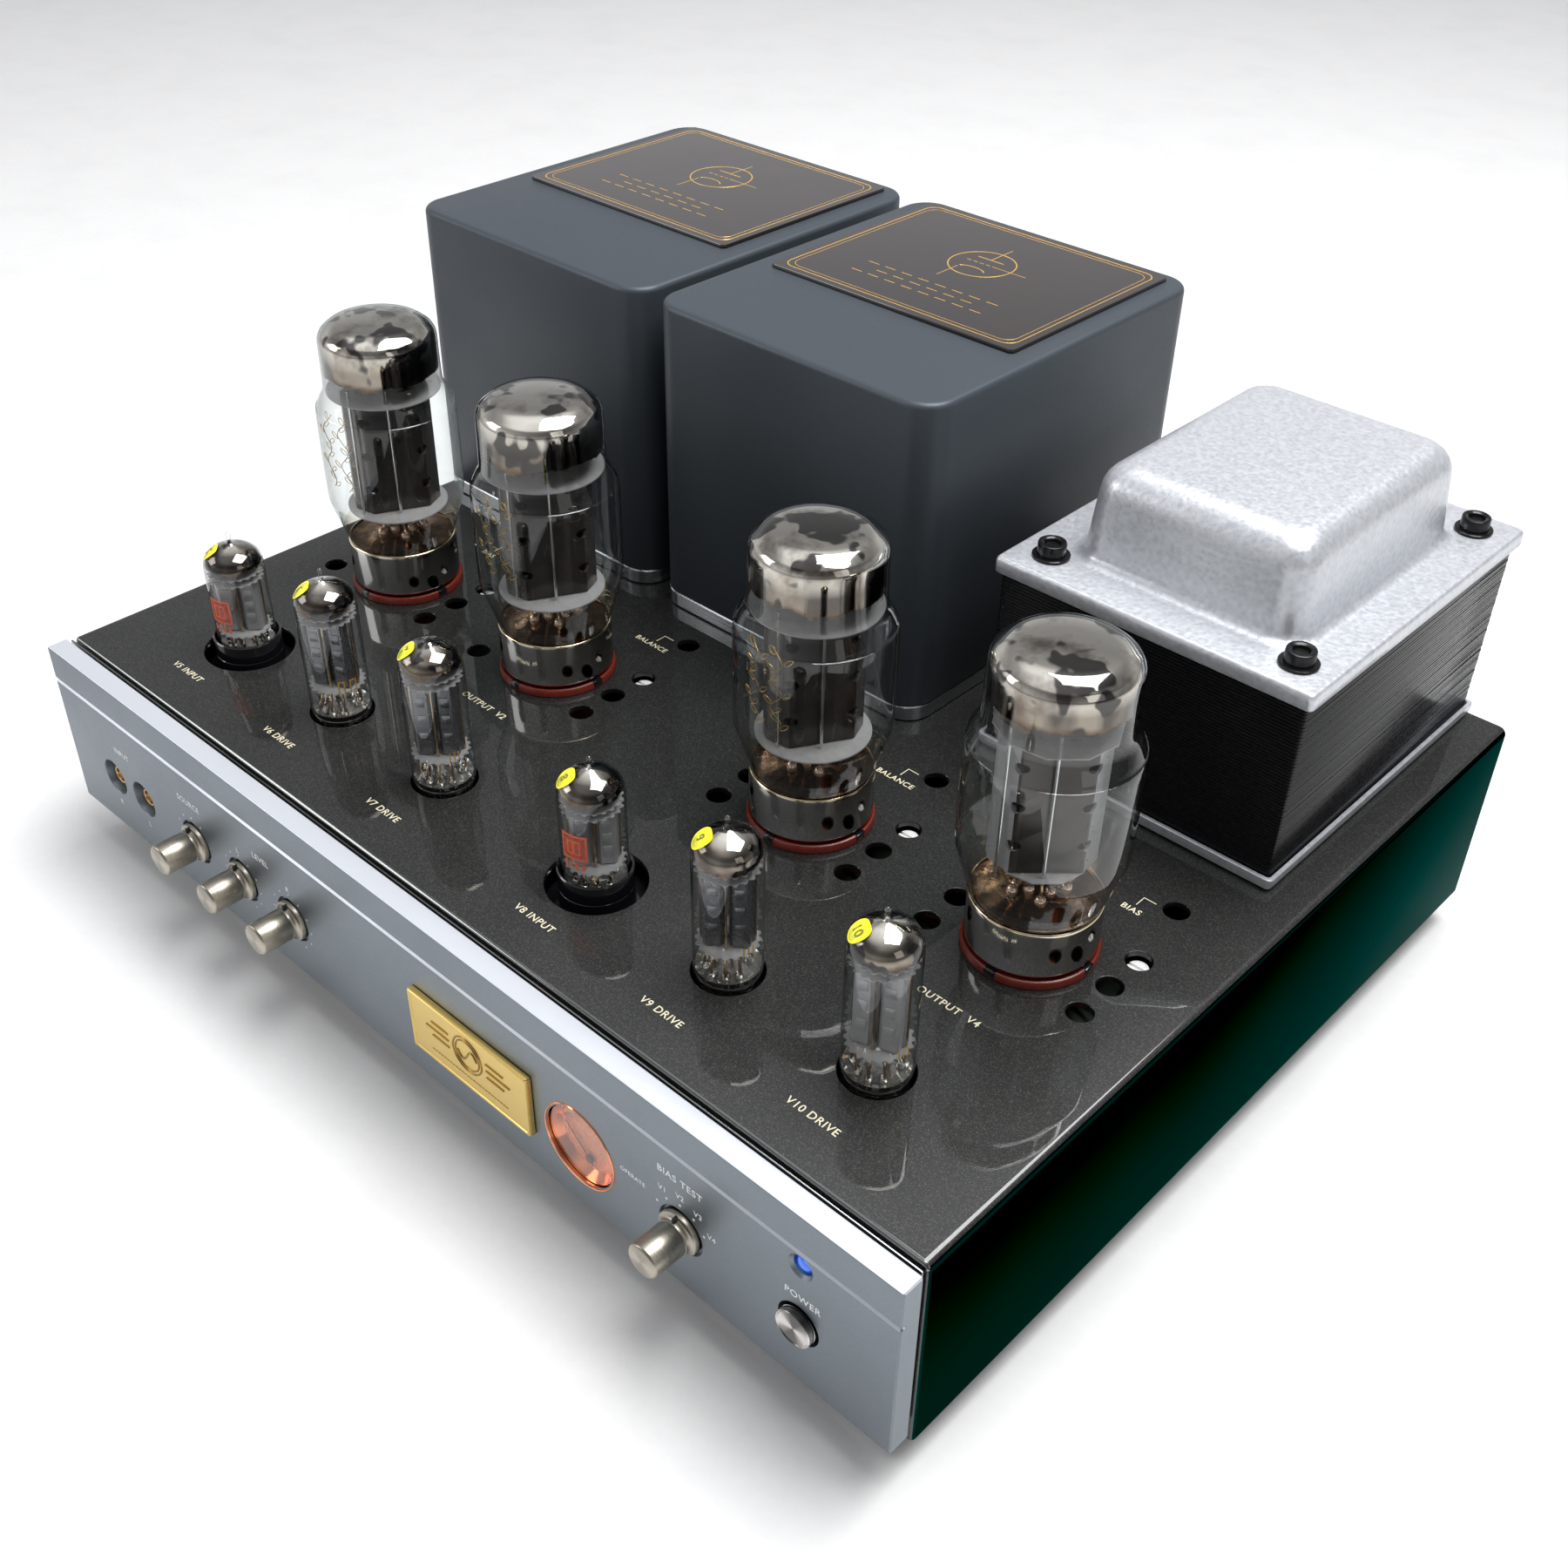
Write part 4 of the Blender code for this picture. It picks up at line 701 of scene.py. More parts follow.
def front_panel():
    """The thick plate with its grooved face, recesses round the controls and broken edges."""
    height = PANEL_HIGH.z - PANEL_Z
    thick = PANEL_HIGH.y - FACE_Y
    edge = 0.5
    groove = height - 14.2
    outline = [
        (0, groove - 1.3), (0.7, groove - 0.6), (1.6, groove - 0.5), (1.6, groove + 0.5),
        (0, groove + 0.55)
    ]
    corners = (
        (edge, height - edge, 180), (thick - edge, height - edge, 90), (thick - edge, edge, 0),
        (edge, edge, -90)
    )
    for y, z, start in corners:
        for step in range(5):
            angle = radians(start - 22.5 * step)
            outline.append((y + edge * cos(angle), z + edge * sin(angle)))
    rings = []
    for x, shrink in (
        (PANEL_LOW.x, edge), (PANEL_LOW.x + edge, 0), (PANEL_HIGH.x - edge, 0), (PANEL_HIGH.x, edge)
    ):
        ring = []
        for y, z in outline:
            narrow = y + (thick / 2 - y) * 2 * shrink / thick
            low = z + (height / 2 - z) * 2 * shrink / height
            ring.append((x, FACE_Y + narrow, PANEL_Z + low))
        rings.append(ring)
    mesh = loft(rings)
    through = (FACE_Y - 1, PANEL_HIGH.y + 1)
    recess = [(0, -1), (8.25, -1), (7.25, 0.6), (7.25, thick + 1), (0, thick + 1)]
    cutters = [lathe(recess, (x, FACE_Y, CONTROL_Z), 64, "Y") for x in JACK_X]
    for node in KNOBS:
        place = middle(node)
        cutters.append(stepped_bore((place.x, FACE_Y, place.z), 8.95, 1.6, 3.5, thick))
    for node, radius in (("meter_body", 14.95), ("power_button", 7.75)):
        cutters.append(rod(middle(node), radius, *through, axis="Y"))
    lamp = middle("power_lamp")
    cutters.append(stepped_bore((lamp.x, FACE_Y, lamp.z), 4.6, 0.0, 3.5, thick, slope=1.1))
    mesh = carve(mesh, cutters)
    mesh.normal_update()
    # painted highlight: the top and the groove's lower chamfer, which look up, take the lighter anodised
    # copy
    for face in mesh.faces:
        place = face.calc_center_median()
        chamfer = groove - 1.4 < place.z - PANEL_Z < groove - 0.6
        if face.normal.z > 0.6 and (chamfer or place.z > PANEL_HIGH.z - 0.3):
            face.material_index = 1
    add("panel_plate", mesh, "anodised anodised_cut", replaces="front_panel")


def stepped_bore(centre, wide, depth, narrow, thick, slope=0.25):
    """A cutter for a recess with a chamfered floor and a hole through it."""
    profile = [(0, -1), (wide, -1), (wide, 0), (narrow, slope), (narrow, thick + 1), (0, thick + 1)]
    if depth:
        profile = [(0, -1), (wide + 0.25, -1), (wide + 0.25, -0.01), (wide, 0.25), (wide, depth)]
        profile += [(narrow, depth), (narrow, thick + 1), (0, thick + 1)]
    return lathe(profile, centre, 64, "Y")


def knob(node):
    """A turned knob: smooth grip, flare and thin skirt, with a black index on the flare."""
    place = middle(node)
    centre = Vector((place.x, FACE_Y, place.z))
    profile = [
        (0, -15.9), (5.1, -15.9), (5.35, -15.85), (5.85, -15.35), (6, -15.0), (6, -4.0), (5.85, -3.9)
    ]
    profile += [
        (5.85, -3.6), (6, -3.5), (6.1, -2.8), (6.4, -2.25), (6.9, -1.85), (7.4, -1.65), (7.7, -1.6)
    ]
    profile += [(7.9, -1.3), (7.9, 0.9), (7.7, 1.0), (3, 1.0), (3, 17), (0, 17)]
    mesh = lathe(profile, centre, 96, "Y")
    add(node + "_turned", mesh, "nickel_y", body=node, replaces=node)
    index = block((-0.45, -3.2, 5.7), (0.45, -1.2, 7.89), 0.15)
    add(node + "_index", moved(index, centre), "black_ink", body=node)


def jacks():
    """Two gold phono jacks deep in their recesses: a nut, a slotted barrel and a dark insulator."""
    meshes = []
    for x in JACK_X:
        centre = (x, FACE_Y, CONTROL_Z)
        barrel = [(2.7, 7.2), (2.7, 2.4), (2.9, 2.0), (3.5, 1.95), (3.75, 2.2), (3.75, 4.8), (3.6, 4.9)]
        barrel += [(3.6, 5.1), (3.75, 5.2), (3.75, 8.6), (5.6, 8.6), (5.6, 9.8), (2.7, 9.8), (2.7, 7.2)]
        meshes.append((lathe(barrel, centre, 48, "Y"), 0))
        washer = [(3.8, 3.0), (4.9, 3.0), (5.4, 3.3), (6.6, 3.3), (6.6, 5.6), (3.8, 5.6), (3.8, 3.0)]
        meshes.append((lathe(washer, centre, 48, "Y"), 0))
        meshes.append(
            (
                lathe(
                    [(0, 4.6), (1.2, 4.6), (1.2, 3.9), (2.4, 3.9), (2.68, 4.2), (2.68, 7), (0, 7)],
                    centre, 48, "Y"
                ),
                1
            )
        )
        meshes.append(
            (lathe([(0, 4.3), (0.75, 4.3), (1.05, 4.62), (1.15, 5), (0, 5)], centre, 24, "Y"), 0)
        )
        nut = bmesh.new()
        bmesh.ops.create_cone(nut, cap_ends=True, segments=6, radius1=6.2, radius2=6.2, depth=1.6)
        turn = spin(90, "X")
        meshes.append((moved(nut, Matrix.Translation((x, FACE_Y + 10.2, CONTROL_Z)) @ turn), 0))
    low, high = box("input_jacks")
    bracket = block((low.x, FACE_Y + 13.2, low.z), (high.x, high.y, high.z), 0.3)
    meshes.append((bracket, 2))
    tags = [tag for _, tag in meshes]
    mesh = joined([part for part, _ in meshes], tags)
    add("phono_jacks", mesh, "gold black_plastic steel", replaces="input_jacks")


def badge():
    """A brass plate with a raised rim, a round wave emblem between short bars, and fine ruled lines."""
    low, high = box("badge")
    centre = (low + high) / 2
    width, height = high.x - low.x, high.z - low.z
    back, front = high.y, low.y + 0.3

    def ring(w, h, y):
        return [(x, y, z) for x, z in rounded(w, h, 0.5, (centre.x, centre.z), 4)]

    plate = loft(
        [
            ring(width, height, back),
            ring(width, height, low.y + 0.7),
            ring(width - 0.9, height - 0.9, low.y),
            ring(width - 2.4, height - 2.4, low.y),
            ring(width - 2.8, height - 2.8, front),
        ]
    )
    add("badge_plate", plate, "brass", replaces="badge")
    parts = []
    heart = centre.z + 2.5
    for radius in (7.2, 5.9):
        circle = [2 * pi * s / 48 for s in range(49)]
        ring_points = [(centre.x + radius * cos(a), front, heart + radius * sin(a)) for a in circle]
        parts.append(sweep(ring_points, 0.36))
    wave = [k * 0.48 for k in range(-10, 11)]
    parts.append(sweep([(centre.x + t, front, heart + 2.7 * sin(t * pi / 4.8)) for t in wave], 0.42))
    for side in (-1, 1):
        for rise, reach in ((3.0, 18), (0, 21), (-3.0, 18)):
            bar = [(centre.x + side * along, front, heart + rise) for along in (9.5, reach)]
            parts.append(sweep(bar, 0.42))
    for step in range(-13, 13):
        start = centre.x + (step + 0.15) * 1.5
        parts.append(sweep([(start, front, centre.z - 7.5), (start + 1.0, front, centre.z - 7.5)], 0.2))
    # the raised emblem, bars and lines in a darker brass: painted shade on the relief
    add("badge_relief", joined(parts), "brass_painted_shade")


def meter():
    """Copper ring and cone round a copper dial with a scale, a pointer and a flat window."""
    place = middle("meter_body")
    centre = (place.x, FACE_Y, place.z)
    ring = [
        (14.9, 2.2), (15.05, 0.9), (15.3, 0.1), (15.45, -0.3), (15.75, -0.4), (16, -0.15), (16, 0),
        (15.3, 0.02)
    ]
    ring += [(14.93, 0.1), (14.93, 7.6), (14.65, 7.6), (14.65, 2.4), (14.9, 2.2)]
    add("meter_ring", lathe(ring, centre, 96, "Y"), "copper", replaces="meter_bezel")
    high = box("meter_body")[1].y
    back = high - FACE_Y
    cup = [
        (0, 4.3), (12.4, 4.3), (12.5, 4.1), (14.55, 1.0), (14.6, 1.4), (14.6, back - 0.6), (14, back),
        (0, back)
    ]
    mesh = lathe(cup, centre, 96, "Y", tags=[0, 0, 1, 1, 1, 2, 2])
    add("meter_cup", mesh, "dial copper black_plastic", replaces="meter_body")
    marks = []
    pivot = Vector((centre[0], FACE_Y + 4.28, place.z - 8.5))
    for step in range(-10, 11):
        angle = radians(4.5 * step)
        outer, inner = 16.2, 14.6 if step % 5 else 13.4
        half = 0.1 if step % 5 else 0.16
        tick = block((-half, -0.05, inner), (half, 0.02, outer))
        marks.append(moved(tick, Matrix.Translation(pivot) @ Matrix.Rotation(angle, 4, "Y")))
    sweep_angles = [radians(4.5 * s) for s in range(-10, 11)]
    arc = [pivot + Vector((16.3 * sin(a), -0.03, 16.3 * cos(a))) for a in sweep_angles]
    marks.append(sweep(arc, 0.1))
    add("meter_scale", joined(marks), "brown_ink")
    turn = Matrix.Translation((centre[0], FACE_Y + 3.5, pivot.z)) @ spin(-45, "Y")
    pointer = [block((-0.28, -0.12, -2.5), (0.28, 0.12, 14.8), 0.05)]
    pointer.append(lathe([(0, -0.3), (1.5, -0.3), (1.7, -0.1), (1.7, 0.3), (0, 0.3)], (0, 0, 0), 32, "Y"))
    add(
        "meter_pointer", moved(joined(pointer), turn), "black_ink", body="meter_needle",
        replaces="meter_needle"
    )
    window = lathe([(0, 0.9), (14.5, 0.9), (14.6, 1.0), (0, 1.1)], centre, 64, "Y")
    add("meter_window", window, "window")


def power_controls():
    """The push button with its turned face, and the blue lamp."""
    place = middle("power_button")
    centre = (place.x, FACE_Y, place.z)
    face = [(0, -2.3), (5.5, -2.3), (5.7, -2.35), (6.0, -2.7), (6.25, -2.7), (6.5, -2.4), (6.5, -0.6)]
    face += [(6.35, -0.5), (6.35, -0.3), (6.5, -0.2), (6.5, 5), (3.5, 5), (3.5, 18), (0, 18)]
    add(
        "power_cap", lathe(face, centre, 96, "Y"), "nickel_dark", body="power_button",
        replaces="power_button"
    )
    lamp = middle("power_lamp")
    centre = (lamp.x, FACE_Y, lamp.z)
    dome = [(0, 0.62)] + [
        (3.1 * sin(radians(a)), 2.6 - 1.98 * cos(radians(a))) for a in range(12, 91, 13)
    ]
    dome += [(3.3, 2.75), (3.3, 16), (0, 16)]
    add("lamp_lens", lathe(dome, centre, 48, "Y"), "lamp", replaces="power_lamp")


def dots(node, steps, radius, sides):
    """Dots on the panel round a knob, 30 degrees apart."""
    centre, made = middle(node), []
    for angle in (radians(30 * step) for step in steps):
        place = (centre.x + 11.3 * sin(angle), 0, centre.z + 11.3 * cos(angle))
        made.append(rod(place, radius, FACE_Y - INK, FACE_Y, sides, "Y"))
    return made


def panel_marks():
    """White markings: words over the controls, and dots where a switch stops."""
    marks = []
    for text, size, x, z in (
        ("INPUT", 3.4, -172.9, 41),
        ("R", 3.0, -183.2, 13.0),
        ("L", 3.0, -162.5, 13.0),
        ("SOURCE", 3.6, -125.7, 43),
        ("LEVEL", 3.6, -79.3, 43),
        ("L", 3.0, -94.8, 38.6),
        ("R", 3.0, -63.8, 38.6),
        ("BIAS TEST", 3.9, 132.8, 46.2),
        ("POWER", 3.7, 181.0, 37.2),
    ):
        marks.append(on_front(text_mesh(text, size), x, PANEL_Z + z))
    bias = middle("knob_bias_test")
    for step, text in zip(range(-2, 3), ("OPERATE", "V1", "V2", "V3", "V4")):
        angle = radians(30 * step)
        size, aside = (3.0, 0) if step > -2 else (2.4, -7.5)
        x = bias.x + 14.8 * sin(angle) + aside
        marks.append(on_front(text_mesh(text, size), x, bias.z + 14.8 * cos(angle)))
    marks += dots("knob_bias_test", range(-2, 3), 0.5, 16) + dots("knob_selector", range(-2, 2), 0.45, 16)
    for node in ("knob_level_left", "knob_level_right"):
        marks += dots(node, range(-5, 6), 0.35, 12)
    add("panel_marks", joined(marks), "white_ink", smooth=30)


# Chassis

TUBES = [middle(f"power_tube_base_{n}") for n in range(1, 5)]
SMALL = [middle(f"small_tube_{n}") for n in range(1, 7)]
COLLARED = (True, False, False, True, False, False)
LABELLED_X = (-139, -40, 84, 183)
LABELLED_Y = FACE_Y + 173
ACCESS_RADIUS = 4.6
TUBE_HOLE = 19.0
SMALL_HOLE = {True: 17.2, False: 11.9}  # by whether the tube has a collar
PRESET_X = 29.6
PRESET_Y = FACE_Y + 145


def access_holes():
    places = []
    for tube in TUBES:
        for side in (-1, 1):
            for depth in (113.8, 129.4):
                places.append((tube.x + side * PRESET_X, FACE_Y + depth))
        places.append((tube.x + PRESET_X, PRESET_Y))
    places += [(x, LABELLED_Y) for x in LABELLED_X]
    return places


def chassis():
    """The folded sheet: deck with all its holes and a soft rounded front edge, two mirror-smooth sides;
    the rounded edge's upward faces and a thin lip strip behind the panel are bright metal, as painted
    highlight.
    """
    half = SHELL_HIGH.x
    bottom = SHELL_LOW.z
    top = DECK_Z

    def folded(width, height, radius, foot):
        points = [(-width, foot)]
        for side, start in ((-1, 180), (1, 90)):
            for step in range(9):
                angle = radians(start - 90 * step / 8)
                points.append(
                    (side * (width - radius) + radius * cos(angle), height - radius + radius * sin(angle))
                )
        points.append((width, foot))
        return points

    start, end = SHELL_LOW.y, SHELL_HIGH.y
    rings = []
    for angle in range(0, 91, 15):
        inset = 1.6 * (1 - sin(radians(angle)))
        y = start + 1.6 * (1 - cos(radians(angle)))
        rings.append([(x, y, z) for x, z in folded(half - inset, top - inset, 3 - inset, bottom)])
    rings.append([(x, end, z) for x, z in folded(half, top, 3, bottom)])
    mesh = loft(rings)
    hollow = prism(folded(half - 2, top - 2, 1, bottom - 2), start - 5, end + 5, "Y")
    mesh = carve(mesh, [hollow])
    low, high = DECK_Z - 5, DECK_Z + 5
    cutters = [rod((x, y, 0), ACCESS_RADIUS, low, high, 32) for x, y in access_holes()]
    cutters += [rod(tube, TUBE_HOLE, low, high) for tube in TUBES]
    cutters += [rod(place, SMALL_HOLE[tall], low, high) for place, tall in zip(SMALL, COLLARED)]
    mesh = carve(mesh, cutters)
    mesh.normal_update()
    for face in mesh.faces:
        centre = face.calc_center_median()
        if abs(face.normal.x) > 0.75 and abs(centre.x) > SHELL_HIGH.x - 1.9:
            face.material_index = 1
        # painted highlight: the upward faces of the rounded front edge take bright metal
        elif centre.y < SHELL_LOW.y + 1.2 and face.normal.z > 0.2 and centre.z > DECK_Z - 3:
            face.material_index = 3
        elif face.normal.z < -0.5 or (abs(centre.x) < SHELL_HIGH.x - 1.9 and centre.z < DECK_Z - 3):
            face.material_index = 2
    looks = "deck side inner_black fold"
    add("chassis_sheet", mesh, looks, replaces="chassis_shell")
    # a thin lip strip behind the panel in bright metal: a painted highlight line
    lip_low = (SHELL_LOW.x + 1, PANEL_HIGH.y + 0.9, DECK_Z - 5)
    lip_high = (SHELL_HIGH.x - 1, PANEL_HIGH.y + 1.8, DECK_Z - 0.8)
    add("front_lip", block(lip_low, lip_high, 0.4), "fold")


def deck_rims():
    """Glossy paint rolled over the edge of each hole, as thin rings that catch the light."""
    rings = []
    places = [(x, y, ACCESS_RADIUS) for x, y in access_holes()]
    places += [(place.x, place.y, SMALL_HOLE[tall]) for place, tall in zip(SMALL, COLLARED)]
    for x, y, wide in places:
        edge = [
            (wide - 0.25, -0.25), (wide - 0.1, -0.05), (wide + 0.1, 0), (wide + 0.1, -1.9),
            (wide - 0.25, -1.9), (wide - 0.25, -0.25)
        ]
        rings.append(lathe(edge, (x, y, DECK_Z), 48))
    add("deck_rims", joined(rings), "rim")


def deck_labels():
    """Cream words on the deck that name the tubes and the presets."""
    labels = []
    for text, x, depth, size in (
        ("V5 INPUT", -161, 28, 3.9),
        ("V6 DRIVE", -101, 27.5, 3.9),
        ("V7 DRIVE", -40, 28, 3.9),
        ("OUTPUT  V2", -64.5, 91.6, 3.9),
        ("V8 INPUT", 39, 28, 3.9),
        ("V9 DRIVE", 98, 27, 3.9),
        ("V10 DRIVE", 158, 28, 3.9),
        ("OUTPUT  V4", 157.7, 88.3, 3.9),
    ):
        labels.append(on_deck(text_mesh(text, size), x, FACE_Y + depth))
    for x in LABELLED_X:
        text = "BALANCE" if x in (-40, 84) else "BIAS"
        labels.append(on_deck(text_mesh(text, 3.5), x - 11, LABELLED_Y - 9.5))
        points = [(x - 6.4, 173 - 2), (x - 11, 173 - 2), (x - 11, 173 - 6.6)]
        line = [(px, FACE_Y + d, DECK_Z + 0.02) for px, d in points]
        labels.append(sweep(line, 0.2, 4))
    add("deck_labels", joined(labels), "cream_ink", smooth=30)


def plain_nodes():
    """Hidden CAD nodes keep their own shapes and take these finishes."""
    looks = {
        "front_wall": "inner_black",
        "bottom_plate": "inner_black",
        "circuit_board": "board",
        "control_board": "black_plastic",
        "switch_board": "black_plastic",
    }
    for node, look in looks.items():
        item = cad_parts.get(node)
        if item:
            item.data.materials.clear()
            item.data.materials.append(M[look])


def foot(node):
    """A turned rubber foot with a ribbed side, a hollow sole and a steel washer."""
    low, high = box(node)
    centre = ((low.x + high.x) / 2, (low.y + high.y) / 2, 0)
    top = high.z
    profile = [
        (0, 2.2), (5, 2.2), (6, 1.4), (12, 1.4), (13, 0.6), (14, 0), (17, 0), (17.8, 0.3), (18.3, 1)
    ]
    for step in range(4):
        base = 2 + 2.4 * step
        profile += [
            (18.4 + 0.3 * step, base), (18.8 + 0.3 * step, base + 0.4), (18.8 + 0.3 * step, base + 1.6)
        ]
    profile += [(20, top - 1.4), (20, top - 0.4), (19.5, top), (0, top)]
    mesh = joined(
        [lathe(profile, centre, 64), lathe([(0, 1.9), (4.4, 1.9), (4.9, 2.3), (0, 2.3)], centre, 32)],
        [0, 1]
    )
    add(node + "_rubber", mesh, "rubber steel", replaces=node)


# Sockets under and through the deck


def octal_ring(number, tube):
    """The red moulding round a big tube, with black blocks at its four notches as painted shade in the
    notch gaps.
    """
    centre = (tube.x, tube.y, DECK_Z)
    profile = [
        (15, -11), (15, 2.6), (20.2, 2.6), (20.6, 2.9), (21.2, 3.1), (21.7, 2.9), (22, 2.4), (22, 0.3)
    ]
    profile += [(18.5, 0.3), (18.5, -20), (15.1, -20), (15, -11)]
    mesh = lathe(profile, centre, 96)
    notches = []
    # painted shade: black blocks laid on the ring where the notch gaps fall dark
    for step in range(4):
        place = Matrix.Translation(centre) @ spin(90 * step + 2, "Z")
        notches.append(moved(block((20.2, -2.1, 0.5), (22.06, 2.1, 3.16), 0.2), place))
    add(f"octal_ring_{number}", mesh, "phenolic")
    add(f"octal_notch_shade_{number}", joined(notches), "collar")


def small_socket(number, place, tall):
    """A nine-pin socket; on two places it has a tall black collar."""
    centre = (place.x, place.y, DECK_Z)
    if tall:
        profile = [
            (0, -15), (11.6, -15), (11.6, 6.4), (11.9, 7), (12.3, 7), (12.65, 6.6), (12.65, 0.4),
            (12.5, 0.2)
        ]
        profile += [(12.5, -0.2), (12.65, -0.4), (12.65, -20), (0, -20)]
        mesh = lathe(profile, centre, 64)
        skirt = lathe(
            [(12.7, -8), (16.2, -8), (17.4, -8.6), (17.4, -9.8), (12.7, -9.8), (12.7, -8)], centre, 64
        )
        screws = []
        for side in (-1, 1):
            dome = lathe(
                [(0, 1.3), (0.8, 1.2), (1.5, 0.6), (1.6, 0), (0, 0)],
                (place.x + side * 14.8, place.y, DECK_Z - 8), 16
            )
            screws.append(dome)
        add(
            f"tall_socket_{number}", joined([mesh, skirt, *screws], [0, 0, 1, 1]), "collar steel",
        )
    else:
        profile = [(0, -15), (7, -15), (7, -8.4), (10.3, -8.4), (10.5, -8.6), (10.5, -20), (0, -20)]
        add(f"small_socket_{number}", lathe(profile, centre, 48), "collar")


def carriers():
    """The plates under the deck that hold the sockets, with their posts, presets and red wires."""
    for side, sign in (("left", -1), ("right", 1)):
        node = f"socket_carrier_{side}"
        low, high = box(node)
        bottom = DECK_Z - 17
        meshes = [block((low.x, low.y, bottom), (high.x, high.y, bottom + 1.6), 0.2)]
        for x in (low.x + 6, (low.x + high.x) / 2, high.x - 6):
            for y in (low.y + 6, high.y - 6):
                meshes.append(rod((x, y, 0), 3, bottom + 1.7, DECK_Z - 2.3, 6))
        for tube in TUBES:
            if tube.x * sign > 0:
                preset = (tube.x + PRESET_X, PRESET_Y, 0)
                meshes.append(rod(preset, 4.2, bottom + 1.7, DECK_Z - 9.3, 32))
        add(node + "_plate", joined(meshes), "board", replaces=node)
        wires = []
        for x, y in access_holes():
            if x * sign > 0 and y < FACE_Y + 140:
                reach = 11
                height = DECK_Z - 11
                path = [(x - reach, y + 2.4, height - 3), (x - 4, y + 1.2, height)]
                path += [(x + 4, y - 1, height + 0.6), (x + reach, y - 2.6, height - 3)]
                wires.append(sweep(spline(path, 4), 0.9, 8))
                wires.append(sweep(spline([(a, b - 3.1, c) for a, b, c in path], 4), 0.9, 8))
        add(f"wiring_{side}", joined(wires), "wire_red")


def trim_screw(number):
    """A slotted pale screw head just below the deck."""
    node = f"trim_screw_{number}"
    low, high = box(node)
    centre = Vector(((low.x + high.x) / 2, (low.y + high.y) / 2, high.z))
    head = lathe([(0, 0), (3.2, 0), (3.5, -0.15), (3.6, -0.4), (3.6, -6), (0, -6)], centre, 48)
    slot = block((-4, -0.55, -1.4), (4, 0.55, 1))
    head = carve(head, [moved(slot, centre)])
    add(node + "_head", head, "screw_white", body=node, replaces=node)


# Tubes


BULB = [
    (20.6, 21.8), (21.6, 24.5), (24, 32), (25.9, 38.5), (26.5, 44), (26.5, 74), (25.7, 78.2), (24.2, 81.5)
]
BULB += [
    (22.9, 84.2), (22.4, 87), (22.2, 95), (22.1, 103.5), (21.3, 106.2), (19.9, 107.8), (16.2, 110.1),
    (9, 110.9)
]
BULB_CURVE = spline(BULB, 4) + [(0, 111)]
TUBE_TURNS = (64, 62, 60, 44)
OTHER_TUBE = 4  # its anode and silvering differ from the three others


def power_base(number, tube):
    """Polished base cup with a rolled rim and two dimples shown as black discs of painted shade, and its
    key and pins.
    """
    body = f"power_tube_{number}"
    centre = (tube.x, tube.y, DECK_Z)
    profile = [
        (0, 3.6), (19.6, 3.6), (20.3, 3.75), (20.9, 4.3), (21.2, 5.2), (21.2, 20.0), (21.15, 20.9),
        (21.0, 21.35)
    ]
    profile += [(20.8, 21.5), (20.5, 21.35), (20.4, 20.6), (0, 20.6)]
    tags = [0] * 6 + [1] * 4 + [2]
    cup = lathe(profile, centre, 96, tags=tags)
    finishes = "chrome rim_gold brown"
    add(
        f"base_cup_{number}", cup, finishes, body=body,
        replaces=f"power_tube_base_{number}"
    )
    key = [(0, 3.7), (4, 3.7), (4, -8.4), (3.4, -9), (0, -9)]
    meshes = [lathe(key, centre, 32)]
    for step in range(8):
        angle = radians(22.5 + 45 * step)
        pin = (tube.x + 8.7 * cos(angle), tube.y + 8.7 * sin(angle), DECK_Z)
        meshes.append(lathe([(0, 3.7), (1.18, 3.7), (1.18, -6.8), (0.7, -7.4), (0, -7.5)], pin, 12))
    # painted shade: the dimples are flat black discs laid on the cup, not dents
    for angle in (radians(-119), radians(41)):
        dimple_shade = lathe([(0, 0.05), (0.9, 0.04), (1.1, 0), (0, -0.1)], (0, 0, 0), 20)
        spot = (21.17 * cos(angle), 21.17 * sin(angle), 17)
        turn = Matrix.Translation(Vector(centre) + Vector(spot)) @ Matrix.Rotation(angle, 4, "Z")
        meshes.append(moved(dimple_shade, turn @ spin(90, "Y")))
    finishes = "black_plastic steel"
    add(
        f"base_pins_{number}", joined(meshes, [0] + [1] * 8 + [0] * 2), finishes, body=body
    )


def bulb(number, tube):
    """The bulb's glass, with the silver flashed inside its top and a warm tint at its foot."""
    body = f"power_tube_{number}"
    centre = (tube.x, tube.y, DECK_Z)
    add(
        f"bulb_{number}", lathe(BULB_CURVE, centre, 96), "glass", body=body, smooth=60,
        replaces=f"power_tube_bulb_{number}",
    )
    start = 89 if number != OTHER_TUBE else 92
    inner = [(r - 0.7, z - 0.4) for r, z in BULB_CURVE if z > start and r > 0] + [(0, 110.5)]
    look = "silver" if number != OTHER_TUBE else "silver_high"
    add(f"bulb_silver_{number}", lathe(inner, centre, 96), look, body=body, smooth=60)
    stain = [(19.9, 21.9), (21.0, 24.6), (22.1, 27.5)]
    add(f"bulb_foot_{number}", lathe(stain, centre, 72), "amber", body=body, smooth=60)


def toothed_disc(radius, teeth, depth, thick):
    """A mica disc with a toothed edge, in XY about the origin, in mm."""
    outline = []
    for step in range(4 * teeth):
        reach = radius - (depth if step % 4 in (2, 3) else 0)
        angle = 2 * pi * step / (4 * teeth)
        outline.append((reach * cos(angle), reach * sin(angle)))
    return prism(outline, -thick / 2, thick / 2)


def oval(width, height, steps=20):
    return [
        (width / 2 * cos(2 * pi * s / steps), height / 2 * sin(2 * pi * s / steps))
        for s in range(steps)
    ]


